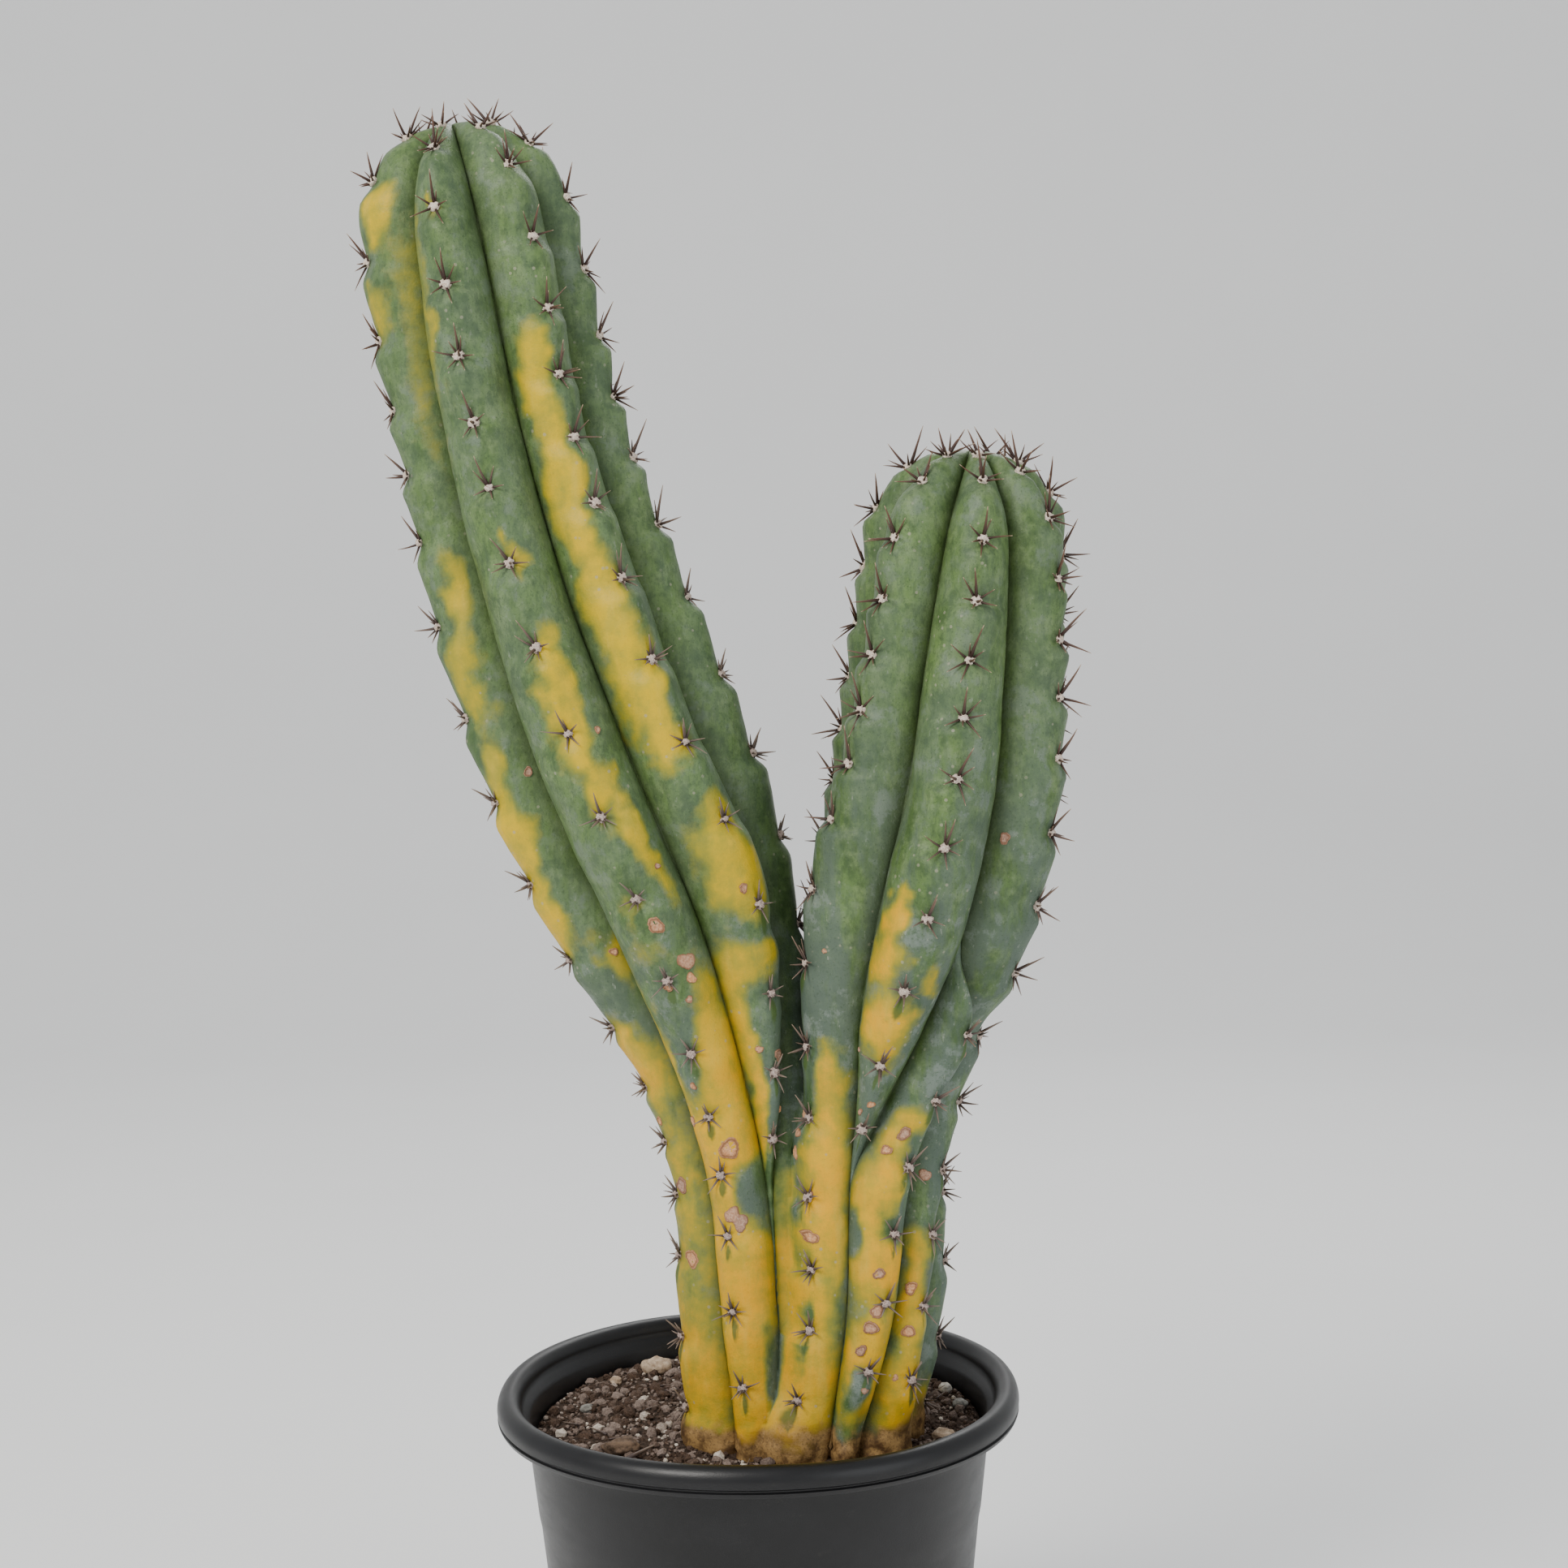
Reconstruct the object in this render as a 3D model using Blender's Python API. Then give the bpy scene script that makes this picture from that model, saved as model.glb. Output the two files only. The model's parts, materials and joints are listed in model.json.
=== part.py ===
"""A tall two-stemmed columnar cactus growing in a black nursery pot.

Everything is in metres, +Z up. The origin is the middle of the pot's flat underside, and the
front of the plant faces -Y. Each stem is a ribbed loft: rings square to a curved axis, with a
crease between neighbouring ribs and a rounded crest on each rib. Both stems join in one stump.
"""
import math
import random

import bmesh
import bpy
from mathutils import Matrix, Vector, noise

GAP = 0.0003                 # clearance between pieces that touch

# --- nursery pot ---------------------------------------------------------------------------
POT_HEIGHT = 0.215
POT_WALL = 0.0018
RIM_OUTER_RADIUS = 0.130
RIM_SKIRT_DEPTH = 0.014      # how far the turned-over rim hangs down outside
RIM_INNER_RADIUS = 0.1165    # inside of the wall just under the rim
FLOOR_RADIUS = 0.0925        # inside of the wall at the floor
FLOOR_TOP = 0.006            # top face of the pot's floor
FOOT_RING_INNER = 0.078      # the floor stands on a ring around a shallow recess
FOOT_RING_HEIGHT = 0.003
CENTRE_PAD_RADIUS = 0.026
POT_SEGMENTS = 48
BEAD_STEPS = 6               # mesh steps over the rolled rim
DRAIN_HOLES = 8
DRAIN_HOLE_RADIUS = 0.0075
DRAIN_CIRCLE_RADIUS = 0.056

# --- potting mix ---------------------------------------------------------------------------
SOIL_EDGE_HEIGHT = 0.1885    # where the mix meets the pot wall
SOIL_MIDDLE_HEIGHT = 0.1935
SOIL_SEGMENTS = 48
SOIL_RINGS = 5
SOCKET_GROWTH = 0.0006       # the mix stands off the stump by this much

# --- stems ---------------------------------------------------------------------------------
RING_SPACING = 0.0165
STEPS_PER_FLANK = 3          # mesh steps from a crease to the crest
LOBE_WIDTH_POWER = 1.6       # rib cross-section: wide round lobes, narrow creases
LOBE_HEIGHT_POWER = 0.75
FULL_RIB_ANGLE = 30.0        # degrees; a narrower rib also stands less proud
DOME_POWER = 2.15
DOME_RINGS = 7
APEX_DIMPLE = 0.004
STUMP_END = 0.150            # height of the buried lower end of the stump

# Heights at which each stem's axis, crest radius and crease angles are set.
# Angles are in degrees, from the front (-Y) round towards +X.
LEFT_STEM = {
    "heights": (0.150, 0.200, 0.260, 0.320, 0.380, 0.440, 0.520, 0.600, 0.680, 0.760, 0.840),
    "x": (-0.002, -0.002, -0.003, -0.004, -0.014, -0.032, -0.062, -0.090, -0.1105, -0.1265, -0.138),
    "y": (-0.016, -0.016, -0.014, -0.011, -0.008, -0.005, -0.001, 0.002, 0.004, 0.006, 0.007),
    "radius": (0.029, 0.0345, 0.0360, 0.0365, 0.043, 0.0585, 0.0665, 0.0625, 0.0565, 0.0540, 0.0495),
    "crease_ratio": (0.80, 0.78, 0.76, 0.72, 0.68, 0.66, 0.66, 0.66, 0.66, 0.66, 0.66),
    "creases": (
        (-130, -130, -121, -112, -116, -108, -90, -98, -98, -106, -95),
        (-19, -19, -29, -40, -48, -43, -45, -44, -46, -39, -27),
        (30, 30, 30, 22, 17, 16, 13, 12, 12, 14, 8),
        (30, 30, 30, 31, 59, 76, 58, 61, 59, 66, 56),
        (90, 90, 90, 88, 104, 118, 104, 102, 98, 102, 92),
        (145, 145, 145, 142, 150, 164, 158, 154, 150, 152, 146),
        (190, 190, 190, 195, 198, 208, 212, 208, 205, 202, 202),
    ),
    # where a crest isn't midway between its creases: share of the way, at the same heights
    "crest_places": {
        1: (0.29, 0.29, 0.27, 0.37, 0.48, 0.54, 0.60, 0.59, 0.58, 0.52, 0.51),
    },
    "top": 0.8345,
    "dome_height": 0.050,
}
RIGHT_STEM = {
    "heights": (0.150, 0.200, 0.260, 0.320, 0.360, 0.400, 0.450, 0.510, 0.570, 0.630, 0.675),
    "x": (0.036, 0.040, 0.0505, 0.0545, 0.0610, 0.0690, 0.0815, 0.0965, 0.1035, 0.1085, 0.1115),
    "y": (-0.018, -0.019, -0.019, -0.020, -0.021, -0.022, -0.022, -0.022, -0.022, -0.021, -0.021),
    "radius": (0.033, 0.0410, 0.0415, 0.0405, 0.0400, 0.0465, 0.0575, 0.0590, 0.0550, 0.0500, 0.0460),
    "crease_ratio": (0.80, 0.78, 0.76, 0.72, 0.68, 0.66, 0.66, 0.66, 0.66, 0.66, 0.66),
    "creases": (
        (-135, -135, -124, -122, -104, -106, -104, -92, -86, -78, -64),
        (-8, -8, -12, -16, -22, -31, -30, -30, -28, -20, -10),
        (-8, -8, -12, -16, 5, 26, 33, 31, 31, 30, 22),
        (18, 18, 30, 40, 50, 62, 33, 31, 31, 30, 22),
        (75, 75, 64, 84, 110, 112, 108, 92, 88, 80, 60),
        (120, 120, 110, 130, 150, 152, 150, 142, 138, 130, 112),
        (170, 170, 160, 180, 196, 196, 194, 186, 184, 178, 165),
        (212, 212, 212, 225, 230, 226, 224, 228, 230, 230, 232),
    ),
    "crest_places": {
        0: (0.80, 0.80, 0.79, 0.72, 0.56, 0.46, 0.49, 0.52, 0.55, 0.53, 0.55),
        2: (0.50, 0.50, 0.64, 0.70, 0.72, 0.67, 0.50, 0.50, 0.50, 0.50, 0.50),
    },
    "top": 0.672,
    "dome_height": 0.046,
}

# --- areoles: wool pads with a bundle of spines --------------------------------------------
# One growth rhythm for each stem, top to bottom; every rib is shifted by a part of a step.
LEFT_LEVELS = (0.810, 0.774, 0.738, 0.706, 0.676, 0.645, 0.607, 0.566, 0.526, 0.487, 0.447,
               0.408, 0.373, 0.343, 0.314, 0.282, 0.243)
RIGHT_LEVELS = (0.656, 0.628, 0.599, 0.572, 0.546, 0.518, 0.486, 0.453, 0.418, 0.382, 0.350,
                0.316, 0.282, 0.250, 0.216)
PAD_RADIUS = 0.0030
PAD_STAND_OFF = 0.0037       # the pad's middle stands this far off the crest
SPINE_LENGTH = 0.013
# Ribs whose areoles are nodes of their own: stem, rib number, shift, first and last level.
AREOLE_ROWS = (
    ("left", 0, 0.00, 0, 15),
    ("left", 3, 0.55, 0, 9),
    ("right", 0, 0.05, 0, 7),
    ("right", 3, -0.45, 1, 9),
)

# --- loose things on the mix: name, x, y, length, width, height, turn, colour ---------------
TAN = (0.52, 0.40, 0.30)
GREY = (0.30, 0.29, 0.26)
WHITE = (0.62, 0.58, 0.52)
BROWN = (0.17, 0.11, 0.07)
LOOSE_PIECES = (
    ("tan_stone", -0.054, 0.078, 0.015, 0.011, 0.009, 20, TAN),
    ("buff_stone", -0.075, 0.060, 0.007, 0.006, 0.005, 70, TAN),
    ("grey_pebble", -0.088, 0.022, 0.007, 0.005, 0.005, 10, GREY),
    ("bark_chunk", -0.067, -0.036, 0.020, 0.010, 0.008, -25, BROWN),
    ("white_pebble_a", -0.025, -0.076, 0.006, 0.005, 0.004, 40, WHITE),
    ("white_pebble_b", -0.034, -0.072, 0.005, 0.004, 0.003, 80, WHITE),
    ("white_stone", 0.096, 0.042, 0.008, 0.006, 0.005, 30, WHITE),
    ("green_grey_stone", 0.102, 0.020, 0.010, 0.008, 0.006, 60, GREY),
    ("tan_chunk", 0.091, -0.022, 0.012, 0.009, 0.007, 15, TAN),
    ("pale_chip", 0.080, -0.050, 0.011, 0.007, 0.003, -30, WHITE),
)

# --- materials: base colour, roughness -------------------------------------------------------
POT_BLACK = (0.012, 0.012, 0.015)
SOIL_BROWN = (0.060, 0.042, 0.030)
STEM_GREEN = (0.105, 0.200, 0.085)
SPINE_BROWN = (0.130, 0.070, 0.050)


def clear_scene():
    for old in list(bpy.data.objects):
        bpy.data.objects.remove(old, do_unlink=True)


def material(name, colour, roughness):
    made = bpy.data.materials.new(name)
    made.use_nodes = True
    shader = made.node_tree.nodes["Principled BSDF"]
    shader.inputs["Base Color"].default_value = (*colour, 1.0)
    shader.inputs["Roughness"].default_value = roughness
    shader.inputs["Metallic"].default_value = 0.0
    return made


def object_from(name, shape, finish):
    """Turn a bmesh into a named object with one material."""
    mesh = bpy.data.meshes.new(name)
    shape.to_mesh(mesh)
    shape.free()
    made = bpy.data.objects.new(name, mesh)
    bpy.context.scene.collection.objects.link(made)
    if finish is not None:
        mesh.materials.append(finish)
    return made


def smooth_shading(part, degrees=40.0):
    part.data.shade_smooth()
    part.data.set_sharp_from_angle(angle=math.radians(degrees))


def set_as_cutter(part):
    part.hide_render = True
    part.display_type = "WIRE"


def add_boolean(part, other, operation):
    step = part.modifiers.new(operation.lower(), "BOOLEAN")
    step.object = other
    step.operation = operation
    step.solver = "EXACT"


def turned(name, outline, segments, finish):
    """Spin a closed (radius, height) outline round the Z axis."""
    shape = bmesh.new()
    rings = []
    for radius, height in outline:
        if radius < 1e-6:
            rings.append([shape.verts.new((0.0, 0.0, height))])
            continue
        ring = []
        for step in range(segments):
            turn = 2 * math.pi * step / segments
            ring.append(shape.verts.new((radius * math.cos(turn), radius * math.sin(turn), height)))
        rings.append(ring)
    count = len(rings)
    for index in range(count):
        lower = rings[index]
        upper = rings[(index + 1) % count]
        if len(lower) == 1 and len(upper) == 1:
            continue
        for step in range(segments):
            after = (step + 1) % segments
            corners = [lower[step % len(lower)], lower[after % len(lower)],
                       upper[after % len(upper)], upper[step % len(upper)]]
            face = list(dict.fromkeys(corners))
            shape.faces.new(face)
    bmesh.ops.recalc_face_normals(shape, faces=shape.faces)
    return object_from(name, shape, finish)


# --- the ribbed stems --------------------------------------------------------------------------

def along(heights, values, z):
    """Smooth curve through the set values (cubic, slopes from the neighbours)."""
    last = len(heights) - 1
    z = min(max(z, heights[0]), heights[last])
    i = 0
    while i < last - 1 and z > heights[i + 1]:
        i += 1

    def slope(k):
        low = max(k - 1, 0)
        high = min(k + 1, last)
        return (values[high] - values[low]) / (heights[high] - heights[low])

    span = heights[i + 1] - heights[i]
    u = (z - heights[i]) / span
    start = values[i] * (1 + 2 * u) * (1 - u) ** 2 + slope(i) * span * u * (1 - u) ** 2
    end = values[i + 1] * u * u * (3 - 2 * u) + slope(i + 1) * span * u * u * (u - 1)
    return start + end


def axis_point(stem, z):
    return Vector((along(stem["heights"], stem["x"], z), along(stem["heights"], stem["y"], z), z))


def section_frame(stem, z):
    """Right, forward and upward unit vectors of the section at height z."""
    step = 0.002
    up = (axis_point(stem, z + step) - axis_point(stem, z - step)).normalized()
    right = Vector((0, -1, 0)).cross(up).normalized()
    if right.x < 0:
        right.negate()
    forward = up.cross(right).normalized()
    if forward.y > 0:
        forward.negate()
    return right, forward, up


def creases_at(stem, z):
    """Crease angles in order, with the first one repeated a full turn later."""
    angles = [along(stem["heights"], row, z) for row in stem["creases"]]
    for k in range(1, len(angles)):
        angles[k] = max(angles[k], angles[k - 1])
    return angles + [angles[0] + 360.0]


def ease(x):
    x = min(max(x, 0.0), 1.0)
    return x * x * (3 - 2 * x)


def crest_angle(stem, rib, angles, z):
    places = stem["crest_places"].get(rib)
    place = along(stem["heights"], places, z) if places else 0.5
    return angles[rib] + place * (angles[rib + 1] - angles[rib])


def crest_factor(stem, rib, angles, crease_ratio):
    """Crest radius of one rib over the stem's radius: a narrow rib stands less proud."""
    width = angles[rib + 1] - angles[rib]
    return crease_ratio + (1.0 - crease_ratio) * ease(width / FULL_RIB_ANGLE)


def section_points(stem, z, growth):
    """(angle in radians, radius) round one section."""
    angles = creases_at(stem, z)
    radius = along(stem["heights"], stem["radius"], z)
    ratio = along(stem["heights"], stem["crease_ratio"], z)
    points = []
    for rib in range(len(angles) - 1):
        crest = crest_angle(stem, rib, angles, z)
        proud = crest_factor(stem, rib, angles, ratio)
        for step in range(2 * STEPS_PER_FLANK):
            side = step / STEPS_PER_FLANK - 1.0
            edge = angles[rib] if side < 0 else angles[rib + 1]
            angle = crest + abs(side) * (edge - crest)
            lobe = (1 - abs(side) ** LOBE_WIDTH_POWER) ** LOBE_HEIGHT_POWER
            points.append((math.radians(angle), radius * (ratio + (proud - ratio) * lobe) + growth))
    return points


def dome_rings(stem):
    """(height, radius scale) of the rings that close the top."""
    start = stem["top"] - stem["dome_height"]
    rings = []
    for step in range(1, DOME_RINGS + 1):
        turn = 0.5 * math.pi * step / (DOME_RINGS + 0.35)
        height = start + stem["dome_height"] * math.sin(turn) ** (2 / DOME_POWER)
        scale = math.cos(turn) ** (2 / DOME_POWER)
        rings.append((height, scale))
    return rings


def stem_rings(stem, low, high):
    """(height, radius scale) of every ring from low to high, or over the dome at the top."""
    top_of_body = min(high, stem["top"] - stem["dome_height"])
    count = max(2, round((top_of_body - low) / RING_SPACING))
    rings = [(low + (top_of_body - low) * k / count, 1.0) for k in range(count + 1)]
    if high >= stem["top"]:
        rings += dome_rings(stem)
    return rings


def stem_solid(name, stem, low, high, growth, finish):
    """Loft one ribbed stem, closed at both ends."""
    shape = bmesh.new()
    loops = []
    for z, scale in stem_rings(stem, low, high):
        middle = axis_point(stem, z)
        right, forward, _ = section_frame(stem, z)
        loop = []
        for angle, radius in section_points(stem, z, growth):
            out = right * math.sin(angle) + forward * math.cos(angle)
            loop.append(shape.verts.new(middle + out * radius * scale))
        loops.append(loop)
    for lower, upper in zip(loops, loops[1:]):
        for k in range(len(lower)):
            after = (k + 1) % len(lower)
            shape.faces.new((lower[k], lower[after], upper[after], upper[k]))
    foot = shape.verts.new(axis_point(stem, low))
    top_height = high - APEX_DIMPLE if high >= stem["top"] else high
    head = shape.verts.new(axis_point(stem, top_height))
    for loop, tip in ((loops[0], foot), (loops[-1], head)):
        for k in range(len(loop)):
            shape.faces.new((loop[k], loop[(k + 1) % len(loop)], tip))
    bmesh.ops.remove_doubles(shape, verts=shape.verts, dist=0.00002)
    bmesh.ops.triangulate(shape, faces=shape.faces)
    bmesh.ops.recalc_face_normals(shape, faces=shape.faces)
    return object_from(name, shape, finish)


def build_stems(finish):
    left = stem_solid("cactus_stems", LEFT_STEM, STUMP_END, LEFT_STEM["top"], 0.0, finish)
    right = stem_solid("right_stem_guide", RIGHT_STEM, STUMP_END, RIGHT_STEM["top"], 0.0, None)
    set_as_cutter(right)
    add_boolean(left, right, "UNION")
    smooth_shading(left, 55.0)


# --- the pot and what is in it -----------------------------------------------------------------

def wall_radius(height):
    """Inside radius of the tapered pot wall."""
    share = (height - FLOOR_TOP) / (POT_HEIGHT - RIM_SKIRT_DEPTH - FLOOR_TOP)
    return FLOOR_RADIUS + (RIM_INNER_RADIUS - 0.003 - FLOOR_RADIUS) * share


def pot_outline():
    """Closed outline: up the inside, over the rolled rim, down the outside, across the foot."""
    neck = POT_HEIGHT - RIM_SKIRT_DEPTH
    bead_radius = 0.5 * (RIM_OUTER_RADIUS - RIM_INNER_RADIUS)
    bead_middle = 0.5 * (RIM_OUTER_RADIUS + RIM_INNER_RADIUS)
    bead_height = 0.0075
    base = POT_HEIGHT - bead_height
    outer_arc = []
    inner_arc = []
    for step in range(BEAD_STEPS + 1):
        turn = math.pi * (1 - step / BEAD_STEPS)
        across = math.cos(turn)
        up = math.sin(turn)
        outer_arc.append((bead_middle + bead_radius * across, base + bead_height * up))
        inner_arc.append((bead_middle + (bead_radius - POT_WALL) * across,
                          base + (bead_height - POT_WALL) * up))
    skirt = RIM_OUTER_RADIUS - 0.0008
    outline = [(0.0, FLOOR_TOP), (FLOOR_RADIUS - 0.004, FLOOR_TOP), (FLOOR_RADIUS, FLOOR_TOP + 0.004)]
    outline += [(wall_radius(neck), neck)]
    outline += outer_arc
    outline += [(skirt, neck), (skirt - POT_WALL, neck)]
    outline += inner_arc[::-1]
    outline += [(wall_radius(neck) + POT_WALL, neck - 0.004)]
    outline += [(FLOOR_RADIUS + POT_WALL, 0.010), (FLOOR_RADIUS - 0.001, 0.0)]
    outline += [(FOOT_RING_INNER, 0.0), (FOOT_RING_INNER - 0.003, FOOT_RING_HEIGHT)]
    outline += [(CENTRE_PAD_RADIUS + 0.003, FOOT_RING_HEIGHT), (CENTRE_PAD_RADIUS, 0.0), (0.0, 0.0)]
    return outline


def build_pot(finish):
    pot = turned("nursery_pot", pot_outline(), POT_SEGMENTS, finish)
    for index in range(DRAIN_HOLES):
        turn = 2 * math.pi * (index + 0.5) / DRAIN_HOLES
        shape = bmesh.new()
        bmesh.ops.create_cone(shape, cap_ends=True, segments=16, radius1=DRAIN_HOLE_RADIUS,
                              radius2=DRAIN_HOLE_RADIUS, depth=0.03)
        cutter = object_from(f"drain_cutter_{index + 1}", shape, None)
        cutter.location = (DRAIN_CIRCLE_RADIUS * math.cos(turn), DRAIN_CIRCLE_RADIUS * math.sin(turn), 0)
        set_as_cutter(cutter)
        add_boolean(pot, cutter, "DIFFERENCE")
    smooth_shading(pot)


def soil_height(radius):
    """Height of the gently mounded surface at a distance from the middle."""
    share = radius / wall_radius(SOIL_EDGE_HEIGHT)
    return SOIL_MIDDLE_HEIGHT + (SOIL_EDGE_HEIGHT - SOIL_MIDDLE_HEIGHT) * share * share


def build_soil(finish):
    edge = wall_radius(SOIL_EDGE_HEIGHT) - GAP
    outline = []
    for step in range(SOIL_RINGS + 1):
        radius = edge * step / SOIL_RINGS
        outline.append((radius, soil_height(radius)))
    outline += [(FLOOR_RADIUS - GAP, FLOOR_TOP + 0.004), (FLOOR_RADIUS - 0.004 - GAP, FLOOR_TOP + GAP)]
    outline += [(0.0, FLOOR_TOP + GAP)]
    soil = turned("potting_soil", outline, SOIL_SEGMENTS, finish)
    for name, stem in (("left_socket_cutter", LEFT_STEM), ("right_socket_cutter", RIGHT_STEM)):
        cutter = stem_solid(name, stem, STUMP_END - SOCKET_GROWTH, 0.215, SOCKET_GROWTH, None)
        set_as_cutter(cutter)
        add_boolean(soil, cutter, "DIFFERENCE")
    smooth_shading(soil)


def build_loose_piece(name, x, y, length, width, height, turn, colour):
    """A worn stone or a piece of bark, resting on the mix."""
    shape = bmesh.new()
    bmesh.ops.create_icosphere(shape, subdivisions=2, radius=0.5)
    seed = Vector((x * 900, y * 900, height * 900))
    for vert in shape.verts:
        bump = noise.noise(vert.co * 2.4 + seed)
        vert.co *= 1.0 + 0.28 * bump
    bmesh.ops.scale(shape, verts=shape.verts, vec=(length, width, height))
    spin = Matrix.Rotation(math.radians(turn), 4, "Z")
    bmesh.ops.rotate(shape, verts=shape.verts, cent=(0, 0, 0), matrix=spin)
    lowest = min(vert.co.z for vert in shape.verts)
    finish = material(name + "_finish", colour, 0.85)
    piece = object_from(name, shape, finish)
    piece.location = (x, y, soil_height(math.hypot(x, y)) - lowest + GAP)
    smooth_shading(piece)


# --- areoles -------------------------------------------------------------------------------------

def crest_place(stem, rib, z):
    """Point on a rib's crest and its outward direction."""
    angles = creases_at(stem, z)
    ratio = along(stem["heights"], stem["crease_ratio"], z)
    turn = math.radians(crest_angle(stem, rib, angles, z))
    radius = along(stem["heights"], stem["radius"], z) * crest_factor(stem, rib, angles, ratio)
    right, forward, up = section_frame(stem, z)
    out = right * math.sin(turn) + forward * math.cos(turn)
    start = stem["top"] - stem["dome_height"]
    if z > start:
        rise = min((z - start) / stem["dome_height"], 0.98)
        scale = (1 - rise ** DOME_POWER) ** (1 / DOME_POWER)
        tilt = (rise ** (DOME_POWER - 1)) * radius
        flat = (scale ** (DOME_POWER - 1)) * stem["dome_height"]
        point = axis_point(stem, z) + out * radius * scale
        out = (out * flat + up * tilt).normalized()
    else:
        point = axis_point(stem, z) + out * radius
    return point, out, up


def build_areole(name, point, out, up, seed, finish):
    """A wool pad whose outer faces are drawn out into spines."""
    chance = random.Random(seed)
    shape = bmesh.new()
    bmesh.ops.create_icosphere(shape, subdivisions=1, radius=PAD_RADIUS)
    faces = sorted(shape.faces, key=lambda face: -face.normal.z)
    spread = faces[:5] + faces[5:10:2]
    for face in spread:
        reach = SPINE_LENGTH * chance.uniform(0.75, 1.1)
        direction = (face.normal + Vector((0, 0, 0.15))).normalized()
        tip = shape.verts.new(face.calc_center_median() + direction * reach)
        corners = list(face.verts)
        shape.faces.remove(face)
        for k in range(3):
            shape.faces.new((corners[k], corners[(k + 1) % 3], tip))
    bmesh.ops.recalc_face_normals(shape, faces=shape.faces)
    side = up.cross(out).normalized()
    level = out.cross(side)
    turn = Matrix((side, level, out)).transposed().to_4x4()
    areole = object_from(name, shape, finish)
    spin = Matrix.Rotation(chance.uniform(0, 2 * math.pi), 4, "Z")
    areole.matrix_world = Matrix.Translation(point + out * PAD_STAND_OFF) @ turn @ spin


def level_at(levels, place):
    """Height at a fractional place in a list of levels."""
    place = min(max(place, 0.0), len(levels) - 1.001)
    low = int(place)
    return levels[low] + (levels[low + 1] - levels[low]) * (place - low)


def build_areoles(finish):
    for side, rib, shift, first, final in AREOLE_ROWS:
        stem = LEFT_STEM if side == "left" else RIGHT_STEM
        levels = LEFT_LEVELS if side == "left" else RIGHT_LEVELS
        for index in range(first, final + 1):
            z = level_at(levels, index + shift)
            point, out, up = crest_place(stem, rib, z)
            name = f"areole_{side}_{rib + 1}_{index + 1:02d}"
            build_areole(name, point, out, up, 100 * rib + index, finish)


def main():
    clear_scene()
    build_pot(material("pot_plastic", POT_BLACK, 0.42))
    build_soil(material("potting_mix", SOIL_BROWN, 0.95))
    build_stems(material("cactus_skin", STEM_GREEN, 0.50))
    for piece in LOOSE_PIECES:
        build_loose_piece(*piece)
    build_areoles(material("spine_wood", SPINE_BROWN, 0.60))


main()
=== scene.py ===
"""Looks of a two-stemmed columnar cactus in a black nursery pot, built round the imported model.

Metres, +Z up, front at -Y. The stems repeat the formula of the solid model at a fine step, so
ribs, creases and areoles lie where the solids have them.
"""
import json
import math
import random

import bmesh
import bpy
import numpy as np
from mathutils import Matrix, Vector, noise


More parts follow.
